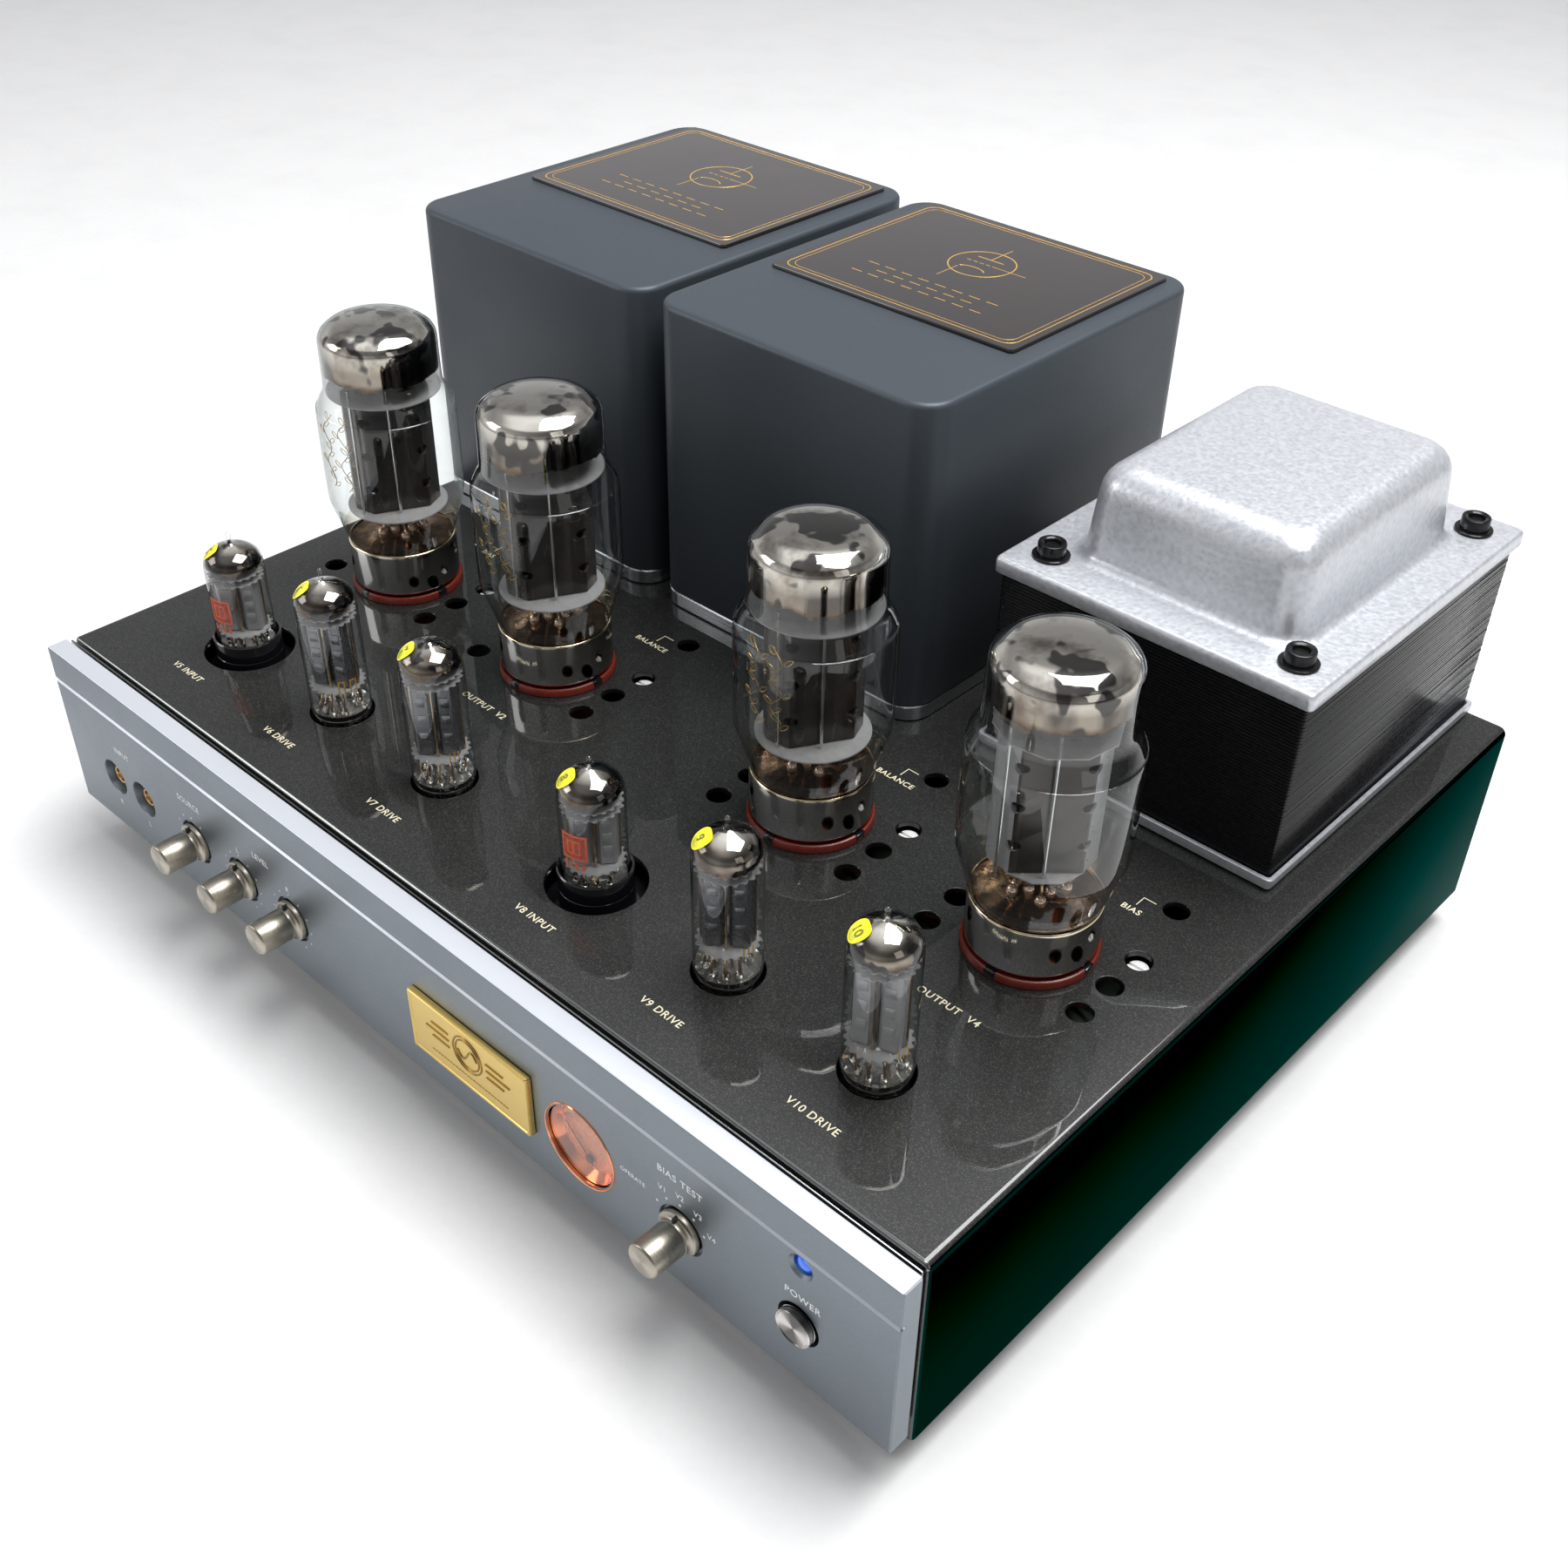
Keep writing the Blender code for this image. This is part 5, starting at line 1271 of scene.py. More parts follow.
def anode_shell():
    """A pressed eight-sided anode with holes in its slanted sides, about the origin."""
    corners = ((10.4, 9.4), (11.2, 9.1), (16.4, 2.6), (16.6, 1.6))
    outline = list(corners)
    outline += [(x, -y) for x, y in reversed(outline)]
    outline += [(-x, y) for x, y in reversed(outline)]
    body = prism(outline, 36, 83)
    body = carve(body, [prism([(x * 0.94, y * 0.92) for x, y in outline], 35, 84)])
    cutters = []
    for angle in (39, -39, 141, -141):
        for height in (46, 60, 74):
            hole = prism(oval(3.8, 4.2), 8, 18)
            turn = spin(angle, "Z") @ spin(90, "Y")
            cutters.append(moved(hole, Matrix.Translation((0, 0, height)) @ turn))
    return carve(body, cutters)


def power_inside(number, tube, shell):
    """The electrode stack: anode, mica discs, rods, grid wires, beaded leads and foil."""
    body = f"power_tube_{number}"
    place = Matrix.Translation((tube.x, tube.y, DECK_Z)) @ spin(TUBE_TURNS[number - 1], "Z")
    anode = bmesh.new()
    anode.from_mesh(shell)
    anode.normal_update()
    for face in anode.faces:
        if abs(face.normal.y) < 0.85:
            face.material_index = 1
    flank = "anode_side" if number == OTHER_TUBE else "anode_bronze"
    add(f"anode_{number}", moved(anode, place), "anode " + flank, body=body)
    dark = []
    for x in (-6, 6):
        dark.append(prism([(px + x, py) for px, py in oval(5.4, 9)], 36, 83.4))
    add(f"cathodes_{number}", moved(joined(dark), place), "anode_black", body=body)
    discs = []
    low, high = (19.4, 21.6) if number != OTHER_TUBE else (14.5, 19.0)
    for height, radius in ((35.5, low), (84, high)):
        steps = 72 if number != OTHER_TUBE else 10
        disc = prism(oval(2 * radius, 2 * radius, steps), -0.25, 0.25)
        discs.append(moved(disc, (0, 0, height)))
    add(f"micas_{number}", moved(joined(discs), place), "mica", body=body)
    rods = []
    for x, y in ((-1, -11.6), (1, 11.6), (-14.6, -7.2), (14.6, 7.2), (-6, 3), (-6, -3), (6, 3), (6, -3)):
        rods.append(moved(rod((0, 0, 0), 0.55, 33, 87, 10), Matrix.Translation((x, y, 0))))
    for x in (-6, 6):
        turns = [
            (x + 2.6 * cos(t * 0.9), 4.2 * sin(t * 0.9), 84.5 + t * 0.05) for t in range(50)
        ]
        rods.append(sweep(turns, 0.13, 5))
    for side in (-1, 1):
        strap = block((side * 9 - 2.2, -1.2, 84.3), (side * 9 + 2.2, 1.2, 89), 0.3)
        rods.append(strap)
    ring = [(5.5 * cos(a * 0.3), 5.5 * sin(a * 0.3), 93) for a in range(22)]
    rods.append(sweep(ring, 0.5, 8))
    rods.append(sweep([(0, 0, 85), (2, 0, 88), (5.5, 0, 93)], 0.4))
    add(f"rods_{number}", moved(joined(rods), place), "steel", body=body)
    leads, beads = [], []
    for step in range(12):
        angle = 2 * pi * step / 12
        c, s = cos(angle), sin(angle)
        reach = 9.5 if step % 2 else 6.5
        path = [
            (reach * c, reach * 0.8 * s, 21), (reach * c, reach * 0.8 * s, 25.5), (12 * c, 7 * s, 30),
            (11.5 * c, 6 * s, 35.5)
        ]
        leads.append(sweep(spline(path, 4), 0.5, 6))
        bead = [(0, -2.2), (1.3, -1.7), (1.9, 0), (1.3, 1.7), (0, 2.2)]
        spot = (reach * c, reach * 0.8 * s, (23.2 + 1.2 * (step % 3)))
        beads.append(lathe(spline(bead, 3), spot, 14))
    add(f"leads_{number}", moved(joined(leads), place), "wire", body=body)
    stem = lathe(
        [(0, 25.5), (4.5, 25), (7, 23.4), (11, 22), (16, 21.2), (19.5, 21), (0, 20.9)], (0, 0, 0), 48
    )
    mesh = joined([stem, *beads], [0] + [1] * len(beads))
    add(f"stem_{number}", moved(mesh, place), "brown bead", body=body)
    if number != OTHER_TUBE:
        ornament(number, body, tube)


def ornament(number, body, tube):
    """A generic gold scroll printed on the bulb's left."""
    centre = (tube.x, tube.y, DECK_Z)
    rising = BULB_CURVE[::-1]
    parts = []
    for side in (-1, 1):
        swing = 0.42 + 0.05 * number
        vine = [((side * 4.2 + 2.0 * sin(k * swing)), k - 15, 0) for k in range(31)]
        parts.append(sweep(vine, 0.13, 4))
        for k in range(1, 30, 3):
            way = 1 if k % 2 else -1
            x, y = vine[k][0] + way * 1.9, vine[k][1] + 0.8
            leaf = []
            for turn in range(11):
                angle = 2 * pi * turn / 10
                along, across = 1.7 * cos(angle), 0.75 * sin(angle)
                leaf.append(
                    (x + 0.77 * along - 0.64 * across * way, y + 0.64 * along * way + 0.77 * across, 0)
                )
            parts.append(sweep(leaf, 0.12, 4))
    mesh = wrap(joined(parts), rising, centre, radians(-84), 64, lift=0.02)
    add(f"ornament_{number}", mesh, "gold_dark", body=body)


SMALL_TURNS = (48, 30, 43, 52, 38, 20)


def small_outline(top):
    """A nine-pin tube's outline from its sealed tip down to the pins."""
    shoulder = top - 6
    points = [
        (0.55, top - 0.1), (0.95, top - 0.9), (0.85, top - 1.9), (0.75, top - 2.9), (1.2, top - 4.2)
    ]
    points += [(2.2, shoulder + 1.1), (4.2, shoulder + 0.3), (7.2, shoulder - 1.0), (9.6, shoulder - 3.1)]
    points += [(10.7, shoulder - 5.6), (11, shoulder - 8.4)]
    return [(0, top)] + spline(points, 4) + [
        (11, 20), (11, 0.8), (10.7, -0.6), (10, -1.4), (8.6, -1.8), (8.6, -7.6), (8.2, -8), (0, -8)
    ]


def anode_plates(x, low, high):
    """One half of a double triode's anode: two folded plates, each with three pressed windows, in mm."""
    meshes = []
    for side in (-1, 1):
        outer = [
            (3.9, 0.2), (3.9, 1.0), (3.3, 1.1), (3.1, 3.6), (2.2, 4.6), (-2.2, 4.6), (-3.1, 3.6),
            (-3.3, 1.1), (-3.9, 1.0), (-3.9, 0.2)
        ]
        outline = [(px + x, py * side) for px, py in outer]
        meshes.append(prism(outline, low, high))
        for share in (0.25, 0.5, 0.75):
            height = low + (high - low) * share
            frame_low = (x - 1.5, side * 4.6 - 0.18, height - 2)
            frame_high = (x + 1.5, side * 4.6 + 0.18, height + 2)
            meshes.append(block(frame_low, frame_high, 0.12))
    return meshes


def small_tube(number, place, top, tall):
    """Glass, silvered top, two anodes between toothed micas, leads, pins and prints."""
    body = f"small_tube_{number}"
    centre = (place.x, place.y, DECK_Z)
    outline = small_outline(top)
    add(
        f"small_glass_{number}", lathe(outline, centre, 64), "glass", body=body, smooth=60,
        replaces=body
    )
    cap = [(max(r - 0.45, 0), z - 0.25) for r, z in outline if z > top - 17 and (z < top - 3 or r == 0)]
    cap = [(0, top - 3.4)] + cap[1:]
    look = f"cap_{number % 3}"
    add(f"small_silver_{number}", lathe(cap, centre, 64), look, body=body, smooth=60)
    turn = Matrix.Translation(centre) @ spin(SMALL_TURNS[number - 1], "Z")
    reach = top - 19
    foot = 13.5 if not tall else 10.5
    discs = []
    for height in (foot - 0.6, reach + 0.6, reach + 3.4):
        discs.append(moved(toothed_disc(10.2, 20, 0.9, 0.35), (0, 0, height)))
    add(f"small_micas_{number}", moved(joined(discs), turn), "mica", body=body)
    anodes = anode_plates(-4.1, foot, reach) + anode_plates(4.1, foot, reach)
    tone = "anode_bright" if number in (2, 3, 5) else "anode_side"
    add(f"small_anodes_{number}", moved(joined(anodes), turn), tone, body=body)
    dark = [rod((x, 0, 0), 1.5, foot - 3, reach + 5, 12) for x in (-4.1, 4.1)]
    wires, beads = [], []
    for step in range(9):
        angle = radians(36 * step + 18)
        c, s = cos(angle), sin(angle)
        low = -14 if not tall else -7.9
        path = [
            (5.9 * c, 5.9 * s, low), (5.9 * c, 5.9 * s, 1), (7.4 * c, 7.4 * s, 4),
            (6.6 * c, 6.6 * s, foot - 4), (4.2 * c, 4.2 * s, foot - 0.5)
        ]
        wires.append(sweep(spline(path, 4), 0.55, 8))
        bead = lathe(
            [(0, 3.6), (0.9, 2.6), (1.5, 1.0), (1.2, -0.6), (0, -1.2)], (6.6 * c, 6.6 * s, 1.8), 12
        )
        beads.append(bead)
    for x, y in ((-8.2, 0), (8.2, 0), (0, 5.2), (0, -5.2)):
        wires.append(rod((x, y, 0), 0.45, foot - 2, reach + 4, 8))
    ring = [(3.2 * cos(a * 0.4), 3.2 * sin(a * 0.4), reach + 7) for a in range(17)]
    wires.append(sweep(ring, 0.35, 6))
    wires.append(sweep([(0, 0, reach + 3), (3.2, 0, reach + 7)], 0.3))
    mesh = joined(dark + wires, [0] * len(dark) + [1] * len(wires))
    add(f"small_wires_{number}", moved(mesh, turn), "anode_black wire", body=body)
    button = lathe([(0, 1.2), (6, 1.3), (8.6, 1.9), (10.3, 3.2)], (0, 0, 0), 48)
    rim = lathe([(9.6, 0.9), (10.3, 1.3), (10.45, 0.7), (9.9, -0.2), (9.6, 0.9)], (0, 0, 0), 64)
    mesh = joined([button, rim, *beads], [0, 1] + [1] * len(beads))
    add(f"small_button_{number}", moved(mesh, turn), "button seal", body=body, smooth=60)
    small_print(number, body, outline, centre, top)


def small_print(number, body, outline, centre, top):
    """A round numbered sticker, and a generic framed patch or a row of bars printed on the glass."""
    turn = radians(-128)
    sticker = prism(oval(8, 8, 32), 0, 0.08)
    bmesh.ops.poke(sticker, faces=[face for face in sticker.faces if len(face.verts) > 4])
    digits = moved(text_mesh(str(number + 4), 4.2), Matrix.Translation((0, 0, 0.1)))
    start = 12.5
    mesh = joined(
        [wrap(sticker, outline, centre, turn, start), wrap(digits, outline, centre, turn, start)], [0, 1]
    )
    add(f"sticker_{number}", mesh, "sticker sticker_ink", body=body)
    patch = number in (1, 4)
    if patch:
        bars = [(0, 4.6, 9.4, 0.7), (0, -4.6, 9.4, 0.7), (-4.4, 0, 0.7, 9.6), (4.4, 0, 0.7, 9.6)]
        bars += [
            (-2.2, 0, 0.7, 5.4), (0, 0, 0.7, 5.4), (2.2, 0, 0.7, 5.4), (0, 2.4, 5.2, 0.6),
            (0, -2.4, 5.2, 0.6)
        ]
        bars += [(x, -7.4, 1.0, 2.6) for x in (-3.4, -1.2, 1.0, 3.2)]
    elif number == 2:
        bars = [(x, 0, 0.5, 5.6) for x in (-3.6, -1.6, 0.6, 2.8)]
        bars += [(x, 2.6, 1.4, 0.5) for x in (-2.6, 1.6)]
    else:
        bars = [(x, 0, 0.45, 3.6) for x in (-1.6, 0, 1.6)]
    parts = []
    for x, y, wide, tall_bar in bars:
        strip = block((x - wide / 2, y - tall_bar / 2, 0), (x + wide / 2, y + tall_bar / 2, 0.05))
        bmesh.ops.subdivide_edges(strip, edges=strip.edges[:], cuts=5, use_grid_fill=True)
        parts.append(strip)
    if patch:
        sheet = block((-4.2, -4.4, -0.02), (4.2, 4.4, 0.01))
        bmesh.ops.subdivide_edges(sheet, edges=sheet.edges[:], cuts=9, use_grid_fill=True)
        parts.append(sheet)
    side = radians(-76 if patch else -12)
    along = top - 20 + (4.5 if patch else 10)
    mesh = joined(parts, [0] * len(bars) + [1] * (len(parts) - len(bars)))
    look = "print_red" if patch else "gold_ink"
    add(
        f"small_print_{number}", wrap(mesh, outline, centre, side, along), look + " print_back",
        body=body
    )


# Transformers


def output_transformer(side):
    """A satin can over a brushed base strip, with a gloss plate on top."""
    low, high = box(f"output_can_{side}")
    centre = ((low.x + high.x) / 2, (low.y + high.y) / 2)
    width, depth = high.x - low.x, high.y - low.y
    base = box(f"output_core_{side}")[0].z
    levels = [(width - 3, depth - 3, 10.5, low.z), (width - 0.4, depth - 0.4, 11.8, low.z)]
    levels.append((width, depth, 12, low.z + 0.3))
    for angle in range(0, 91, 15):
        inset = 2.2 * (1 - cos(radians(angle)))
        rise = 2.2 * sin(radians(angle))
        levels.append((width - 2 * inset, depth - 2 * inset, 12 - inset, high.z - 2.2 + rise))
    mesh = stack(levels, centre, 12)
    add(f"can_{side}", mesh, "can", replaces=f"output_can_{side}")
    strip_low, strip_high = box(f"output_core_{side}")
    strip_width, strip_depth = strip_high.x - strip_low.x, strip_high.y - strip_low.y
    edge = 0.4
    strip = stack(
        [
            (strip_width - 2 * edge, strip_depth - 2 * edge, 11, base),
            (strip_width, strip_depth, 11.5, base + edge),
            (strip_width, strip_depth, 11.5, low.z - 0.7),
            (strip_width - 2 * edge, strip_depth - 2 * edge, 11, low.z - 0.3),
        ],
        centre,
        12,
    )
    add(f"base_strip_{side}", strip, "brushed", replaces=f"output_core_{side}")
    name_plate(side)


def name_plate(side):
    low, high = box(f"output_plate_{side}")
    centre = ((low.x + high.x) / 2, (low.y + high.y) / 2)
    width, depth = high.x - low.x, high.y - low.y
    edge = 0.35
    levels = [(width, depth, 2, low.z), (width, depth, 2, high.z - edge - INK)]
    levels.append((width - edge, depth - edge, 1.9, high.z - INK))
    add(
        f"plate_{side}", stack(levels, centre, 6), "plate",
        replaces=f"output_plate_{side}"
    )
    top = high.z - INK / 2
    parts = []

    def line(points, thick):
        parts.append(
            sweep([(centre[0] + x, centre[1] + y, top - thick * 0.8) for x, y in points], thick, 6)
        )

    for inset, thick in ((3.2, 0.42), (5.2, 0.22)):
        w, d = width / 2 - inset, depth / 2 - inset
        line([(x, y) for x, y in rounded(2 * w, 2 * d, 5, steps=6)] + [(w, d - 5)], thick)
    # a triode's symbol: circle, anode bar, dashed grid and a curved cathode
    line([(13 * cos(a * 0.1), 8 + 13 * sin(a * 0.1)) for a in range(64)], 0.45)
    line([(-6, 13.5), (6, 13.5)], 0.6)
    line([(0, 13.5), (0, 27)], 0.35)
    for x in (-7.5, -4.5, -1.5, 1.5, 4.5):
        line([(x, 8.5), (x + 2, 8.5)], 0.4)
    line([(6.5, 8.5), (20, 8.5)], 0.3)
    line([(6 * cos(a * 0.2), 0.5 + 3 * sin(a * 0.2)) for a in range(1, 15)], 0.45)
    line([(-5.8, 0.5), (-5.8, -12)], 0.3)
    for y, half in ((-20, 32), (-25, 24), (-30, 32)):
        for x in range(-half, half, 8):
            line([(x, y), (x + 5, y)], 0.4)
    add(f"plate_lines_{side}", joined(parts), "gold_ink")


def mains_transformer():
    """Hammered bell and tray round a stack of black laminations, held by four black bolts."""
    low, high = box("mains_bell")
    centre = ((low.x + high.x) / 2, (low.y + high.y) / 2)
    width, depth = high.x - low.x, high.y - low.y
    flange_z = DECK_Z + 76.7
    bell = [
        (width - 1.2, depth - 1.2, 1.5, flange_z - 6),
        (width, depth, 1.9, flange_z - 5.4),
        (width, depth, 1.9, flange_z - 1.6),
        (width - 0.4, depth - 0.4, 1.8, flange_z - 0.7),
        (width - 1.4, depth - 1.4, 1.6, flange_z - 0.1),
        (width - 2.6, depth - 2.6, 1.4, flange_z),
    ]
    base_w, base_d = 84, 106
    for angle in range(0, 91, 18):
        reach = 4.5 * (1 - sin(radians(angle)))
        rise = 4.5 * (1 - cos(radians(angle)))
        bell.append((base_w + 2 * reach, base_d + 2 * reach, 11 + reach, flange_z + rise))
    top = high.z
    bell.append((base_w - 3, base_d - 3, 11, top - 10))
    for angle in range(15, 91, 15):
        reach = 10 * (1 - cos(radians(angle)))
        rise = 10 * sin(radians(angle))
        bell.append(
            (base_w - 3.2 - 2 * reach, base_d - 3.2 - 2 * reach, 11 - 0.6 * reach, top - 10 + rise)
        )
    add("bell", stack(bell, centre, 12), "hammer", replaces="mains_bell", smooth=50)
    low, high = box("mains_tray")
    width, depth = high.x - low.x, high.y - low.y
    lip = high.z
    tray = [
        (width - 3, depth - 3, 1.2, low.z),
        (width - 0.6, depth - 0.6, 1.8, low.z + 0.7),
        (width, depth, 2, low.z + 1.8),
        (width, depth, 2, lip - 0.3),
        (width - 0.6, depth - 0.6, 1.8, lip),
        (width - 2.6, depth - 2.6, 1.4, lip),
        (width - 3.2, depth - 3.2, 1.2, lip - 0.4),
        (width - 3.2, depth - 3.2, 1.2, low.z + 2),
    ]
    add("tray", stack(tray, centre, 8), "hammer", replaces="mains_tray")
    width, depth = 116, 140
    bottom = lip - 2.4
    count = 58
    pitch = (flange_z - 2.4 - bottom) / count
    random.seed(7)
    levels = []
    for sheet in range(count):
        push = random.uniform(-0.12, 0.12)
        levels += [
            (width + push, depth + push, 1.5, bottom + pitch * sheet + 0.1),
            (width + push, depth + push, 1.5, bottom + pitch * (sheet + 1) - 0.2),
            (width - 0.7, depth - 0.7, 1.2, bottom + pitch * (sheet + 1) - 0.15),
            (width - 0.7, depth - 0.7, 1.2, bottom + pitch * (sheet + 1) + 0.05),
        ]
    add(
        "laminations", stack(levels, centre, 2), "lamination", replaces="mains_core",
        smooth=25
    )
    for number in range(1, 5):
        bolt(number)


def bolt(number):
    """A hexagon-socket bolt over a washer, black."""
    node = f"mains_bolt_{number}"
    low, high = box(node)
    centre = ((low.x + high.x) / 2, (low.y + high.y) / 2, high.z)
    height = high.z - low.z
    profile = [
        (0, -1.6), (2.6, -1.6), (2.9, -0.5), (3.6, -0.1), (4.3, 0), (4.75, -0.2), (4.9, -0.6), (4.9, -4.3)
    ]
    profile += [
        (6.2, -4.35), (6.5, -4.6), (6.5, -5.1), (6.3, -5.3), (2.2, -5.3), (2.2, -height), (0, -height)
    ]
    mesh = lathe(profile, centre, 48)
    add(node + "_head", mesh, "black_screw", replaces=node)


# The back


def screw(centre, radius=2.6):
    """A domed cross-head screw that points to the back, radius in mm."""
    profile = [(0, 0.9), (radius * 0.4, 0.82), (radius * 0.8, 0.5), (radius, 0), (0, 0)]
    head = lathe(profile, (0, 0, 0), 32, "Y")
    slots = []
    for turn in (0, 90):
        arm = block((-radius * 0.55, 0.4, -0.28), (radius * 0.55, 2, 0.28))
        slots.append(moved(arm, spin(turn, "Y")))
    head = carve(carve(head, slots[:1]), slots[1:])
    return moved(head, centre)


def rear():
    """Panel, terminals, phono sockets and mains inlet, each on its plate with screws."""
    low, high = box("rear_panel")
    panel = block(low, high, 0.2)
    through = (low.y - 2, high.y + 2)
    row = PANEL_Z + 32
    posts = [(cx + step * 20) for cx in (-150, -40) for step in (-1, 0, 1)]
    phono = [(55 + column * 19, row + side * 9) for column in (-1, 0, 1) for side in (-1, 1)]
    cutters = [rod((x, 0, row), 6.5, *through, axis="Y", steps=32) for x in posts]
    cutters += [rod((x, 0, z), 4.6, *through, axis="Y", steps=32) for x, z in phono]
    inlet = (160, row)
    cutters.append(prism(rounded(28.6, 21.1, 2, inlet), *through, "Y"))
    add("back_sheet", carve(panel, cutters), "side", replaces="rear_panel")
    face = high.y
    screws = [screw((x, face, z)) for x in (-203, -95, 3, 95, 203) for z in (low.z + 5, high.z - 5)]
    add("back_screws", joined(screws), "black_screw")
    for side, cx in (("left", -150), ("right", -40)):
        speaker_posts(side, cx, row)
    line_sockets(phono)
    mains_inlet(inlet)


def speaker_posts(side, x, row):
    """Three knurled gold posts with coloured caps on a black plate."""
    low, high = box(f"speaker_terminals_{side}")
    back = high.y
    plate_top = SHELL_HIGH.y + 2.4
    parts = [block((low.x, SHELL_HIGH.y, low.z), (high.x, plate_top, high.z), 0.25)]
    tags = [0]
    for step, tone in ((-1, 0), (0, 3), (1, 3)):
        centre = (x + step * 20, SHELL_HIGH.y, row)
        reach = back - SHELL_HIGH.y
        base = lathe(
            [(0, 1), (5.8, 1), (5.8, 4.2), (5.2, 4.8), (2.6, 4.8), (2.6, 7.5), (0, 7.5)], centre, 48, "Y"
        )
        knurl = lathe(
            [(0, 7.4), (5.6, 7.4), (6, 7.9), (6, reach - 4.6), (5.5, reach - 4.1), (0, reach - 4.1)],
            centre, 48, "Y"
        )
        for face in knurl.faces:
            face.smooth = False
        cap = lathe(
            [
                (0, reach - 4.2), (4.8, reach - 4.2), (4.8, reach - 0.6), (4.2, reach), (2.3, reach),
                (2.2, reach - 2.5), (0, reach - 2.5)
            ],
            centre, 48, "Y"
        )
        parts += [base, knurl, cap]
        tags += [1, 1, tone if tone == 3 else 2]
    for sx in (-1, 1):
        parts.append(screw((x + sx * (high.x - low.x - 9) / 2, plate_top, low.z + 3.6), 2.0))
        tags.append(1)
    mesh = joined(parts, tags)
    finishes = "black_plastic gold black_plastic red_plastic"
    add(f"speaker_posts_{side}", mesh, finishes, replaces=f"speaker_terminals_{side}")


def line_sockets(places):
    low, high = box("line_inputs")
    plate_top = SHELL_HIGH.y + 2.4
    reach = high.y - SHELL_HIGH.y
    parts = [block((low.x, SHELL_HIGH.y, low.z), (high.x, plate_top, high.z), 0.25)]
    tags = [0]
    for x, z in places:
        centre = (x, SHELL_HIGH.y, z)
        barrel = [
            (2.9, 0), (4.1, 0), (4.1, reach - 0.3), (3.8, reach), (3.1, reach), (2.9, reach - 0.3),
            (2.9, 0)
        ]
        parts.append(lathe(barrel, centre, 40, "Y"))
        parts.append(
            lathe(
                [
                    (0, 1), (2.88, 1), (2.88, reach - 1.2), (1.3, reach - 1.4), (1.2, reach - 3),
                    (0, reach - 3)
                ],
                centre, 40, "Y"
            )
        )
        collar = lathe(
            [(4.1, 2.3), (5.4, 2.3), (5.6, 2.7), (5.2, 3.2), (4.1, 3.3), (4.1, 2.3)], centre, 40, "Y"
        )
        parts.append(collar)
        tags += [1, 2 if z > (low.z + high.z) / 2 else 3, 1]
    mesh = joined(parts, tags)
    finishes = "black_plastic gold white_plastic red_plastic"
    add("line_sockets", mesh, finishes, replaces="line_inputs")


def mains_inlet(inlet):
    """An appliance inlet: flange with two screws, deep recess and three blades."""
    low, high = box("mains_inlet")
    flange_back = high.y
    body = prism(rounded(28, 20.5, 1.8, inlet), low.y, SHELL_HIGH.y - 0.1, "Y")
    flange = prism(rounded(high.x - low.x, high.z - low.z, 6, inlet), SHELL_HIGH.y, flange_back, "Y")
    recess = rounded(24.5, 16.5, 2.5, inlet), flange_back - 15, flange_back + 3, "Y"
    shell = joined([carve(part, [prism(*recess)]) for part in (body, flange)])
    parts, tags = [shell], [0]
    for dx, dz in ((-7, -1), (0, 1.6), (7, -1)):
        x, z = inlet[0] + dx, inlet[1] + dz
        blade = block((x - 1, flange_back - 15.5, z - 2.2), (x + 1, flange_back - 3, z + 2.2), 0.3)
        parts.append(blade)
        tags.append(1)
    for dx in (-20, 20):
        parts.append(screw((inlet[0] + dx, flange_back - 0.9, inlet[1]), 2.8))
        tags.append(1)
    add("inlet", joined(parts, tags), "black_plastic steel", replaces="mains_inlet")


# Light, floor and camera


def studio():
    """A pale floor, one large soft light overhead and weaker ones at the sides."""
    mesh = bmesh.new()
    bmesh.ops.create_grid(mesh, x_segments=1, y_segments=1, size=6)
    data = bpy.data.meshes.new("floor")
    mesh.to_mesh(data)
    mesh.free()
    floor = bpy.data.objects.new("floor", data)
    bpy.context.scene.collection.objects.link(floor)
    surface(
        "floor_paper", (0.68, 0.68, 0.68), 0.8, other=(0.66, 0.66, 0.66), grain=300, bump=0.02,
        specular=0.2
    )
    data.materials.append(M["floor_paper"])
    for name, place, size, power in (
        ("overhead", (0.33, 0.3, 1.7), (1.2, 1.0), 50),
        ("left", (-1.2, -1.0, 0.8), (0.7, 0.7), 6),
        ("right", (1.7, -0.3, 0.9), (0.7, 1.0), 1.5),
    ):
        light = bpy.data.lights.new(name, "AREA")
        light.shape = "RECTANGLE"
        light.size, light.size_y = size
        light.energy = power
        item = bpy.data.objects.new(name, light)
        item.location = place
        item.rotation_euler = (Vector((0, 0, 0.08)) - Vector(place)).to_track_quat("-Z", "Y").to_euler()
        bpy.context.scene.collection.objects.link(item)


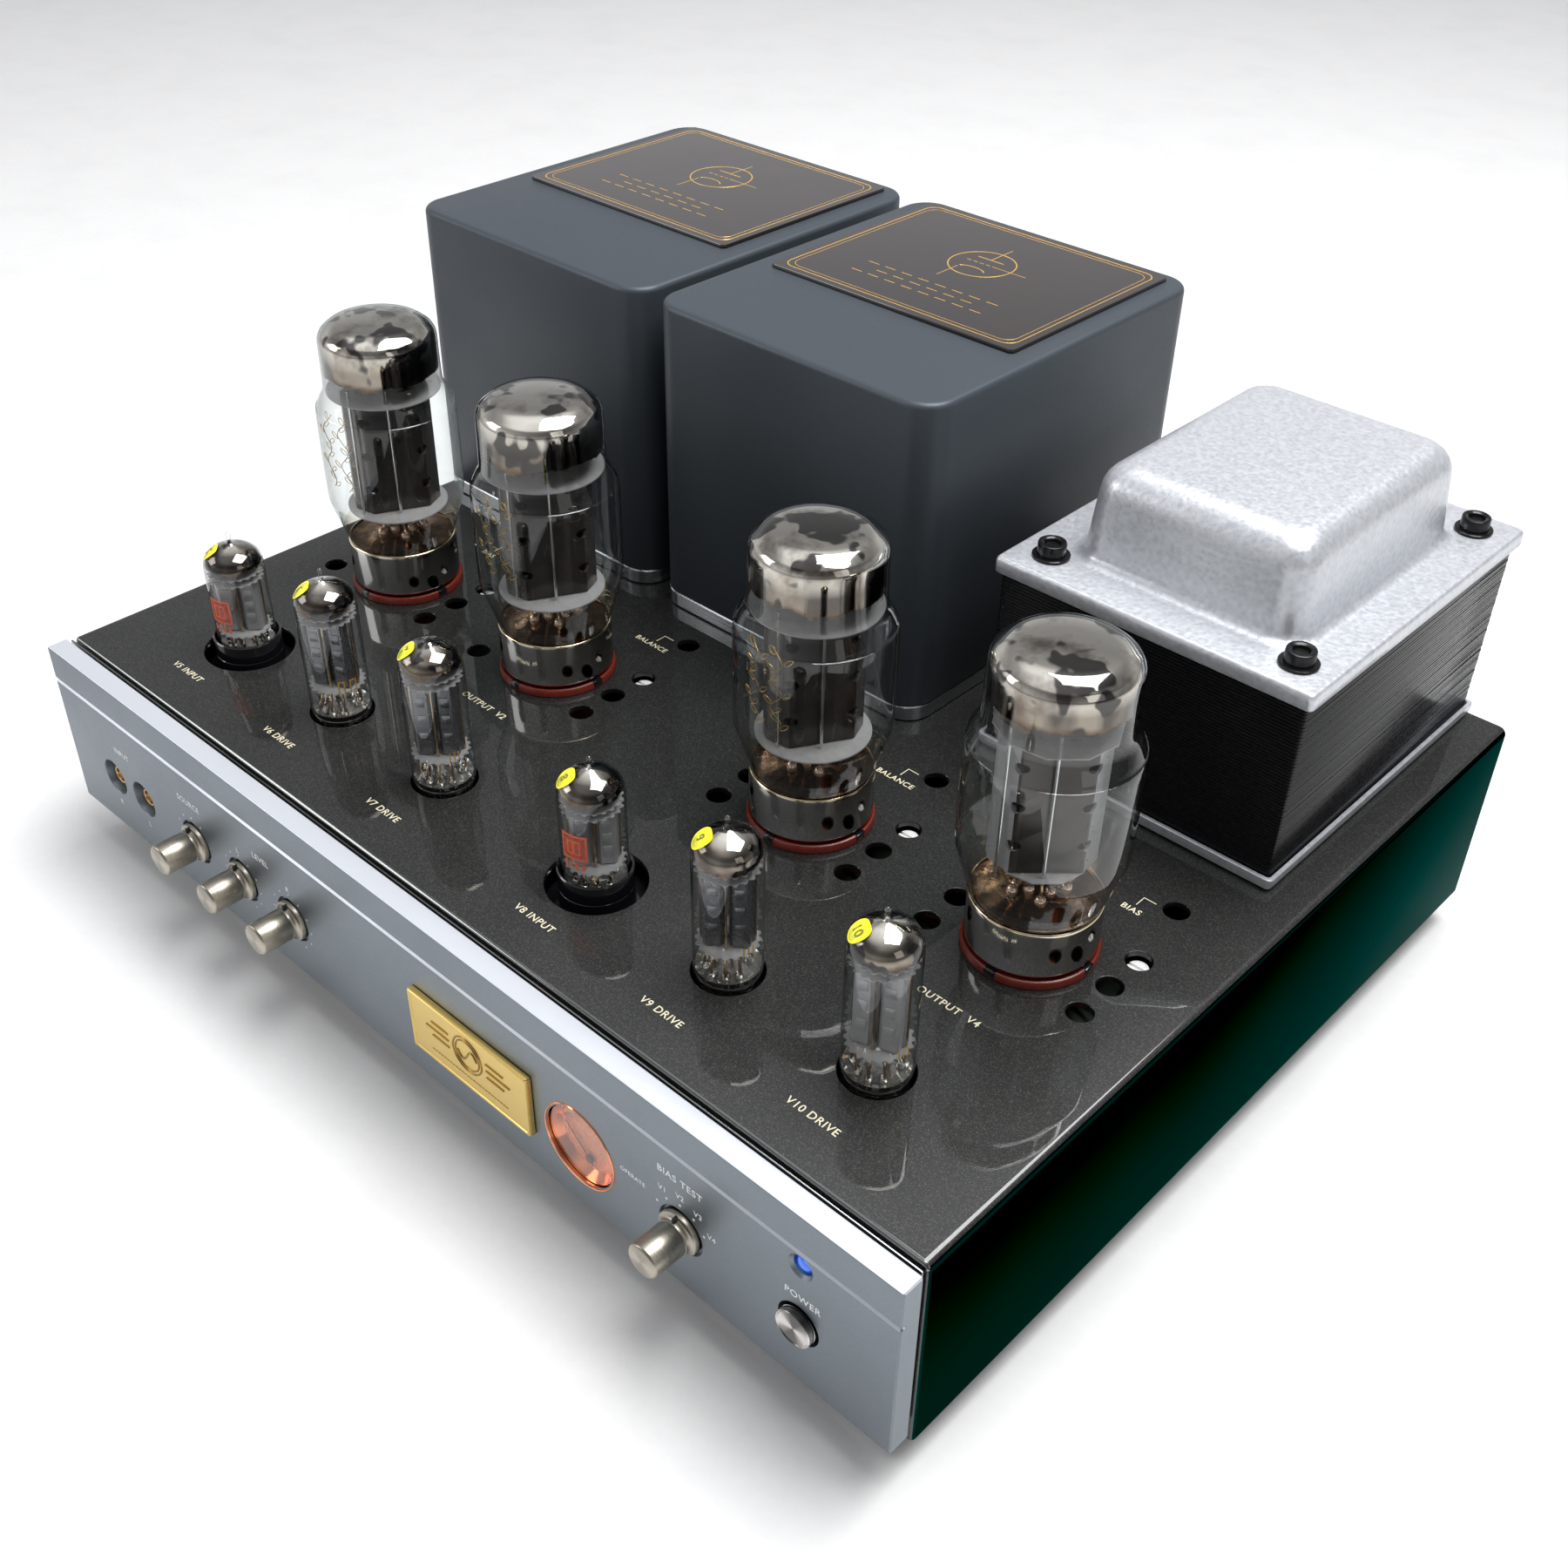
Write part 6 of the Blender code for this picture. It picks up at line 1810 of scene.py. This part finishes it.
def room():
    """A room that is bright overhead, dark where the deck reflects it, and darker on the right."""
    world = bpy.data.worlds.new("room")
    world.use_nodes = True
    nodes, links = world.node_tree.nodes, world.node_tree.links
    coordinates = nodes.new("ShaderNodeTexCoord")
    separate = nodes.new("ShaderNodeSeparateXYZ")
    links.new(coordinates.outputs["Generated"], separate.inputs[0])
    ramp = nodes.new("ShaderNodeValToRGB")
    ramp.color_ramp.elements[0].position = 0.0
    ramp.color_ramp.elements[0].color = (0.55, 0.55, 0.55, 1)
    ramp.color_ramp.elements[1].position = 1.0
    ramp.color_ramp.elements[1].color = (0.9, 0.92, 0.95, 1)
    for place, tone in ((0.25, 0.6), (0.42, 0.34), (0.55, 0.26), (0.72, 0.34), (0.85, 0.8)):
        element = ramp.color_ramp.elements.new(place)
        element.color = (tone, tone, tone * 1.03, 1)
    links.new(separate.outputs["Z"], ramp.inputs["Fac"])
    links.new(ramp.outputs["Color"], nodes["Background"].inputs["Color"])
    fade = nodes.new("ShaderNodeMapRange")
    for socket, value in (("From Min", -0.1), ("From Max", 0.75), ("To Min", 1.1), ("To Max", 0.42)):
        fade.inputs[socket].default_value = value
    links.new(separate.outputs["X"], fade.inputs["Value"])
    links.new(fade.outputs["Result"], nodes["Background"].inputs["Strength"])
    bpy.context.scene.world = world
    bpy.context.scene.view_settings.view_transform = "Standard"


def camera():
    data = bpy.data.cameras.new("camera")
    data.lens = 40.38
    data.clip_start = 0.01
    item = bpy.data.objects.new("camera", data)
    bpy.context.scene.collection.objects.link(item)
    right = (0.72854, 0.68483, 0.01509)
    up = (-0.42314, 0.4326, 0.79612)
    back = (0.53868, -0.5864, 0.60495)
    turn = Matrix((right, up, back)).transposed().to_4x4()
    item.matrix_world = Matrix.Translation((0.37718, -0.3978, 0.46162)) @ turn
    bpy.context.scene.camera = item


def build():
    front_panel()
    for node in KNOBS:
        knob(node)
    jacks()
    badge()
    meter()
    power_controls()
    panel_marks()
    chassis()
    deck_rims()
    deck_labels()
    plain_nodes()
    for row in ("front", "rear"):
        for side in ("left", "right"):
            foot(f"foot_{row}_{side}")
    carriers()
    for number, tube in enumerate(TUBES, start=1):
        octal_ring(number, tube)
        trim_screw(number)
    shell = bpy.data.meshes.new("anode")
    made = anode_shell()
    made.to_mesh(shell)
    made.free()
    for number, tube in enumerate(TUBES, start=1):
        power_base(number, tube)
        bulb(number, tube)
        power_inside(number, tube, shell)
    for number, (place, tall) in enumerate(zip(SMALL, COLLARED), start=1):
        top = (box(f"small_tube_{number}")[1].z - DECK_Z)
        small_socket(number, place, tall)
        small_tube(number, place, top, tall)
    for side in ("left", "right"):
        output_transformer(side)
    mains_transformer()
    rear()


build()
studio()
room()
camera()
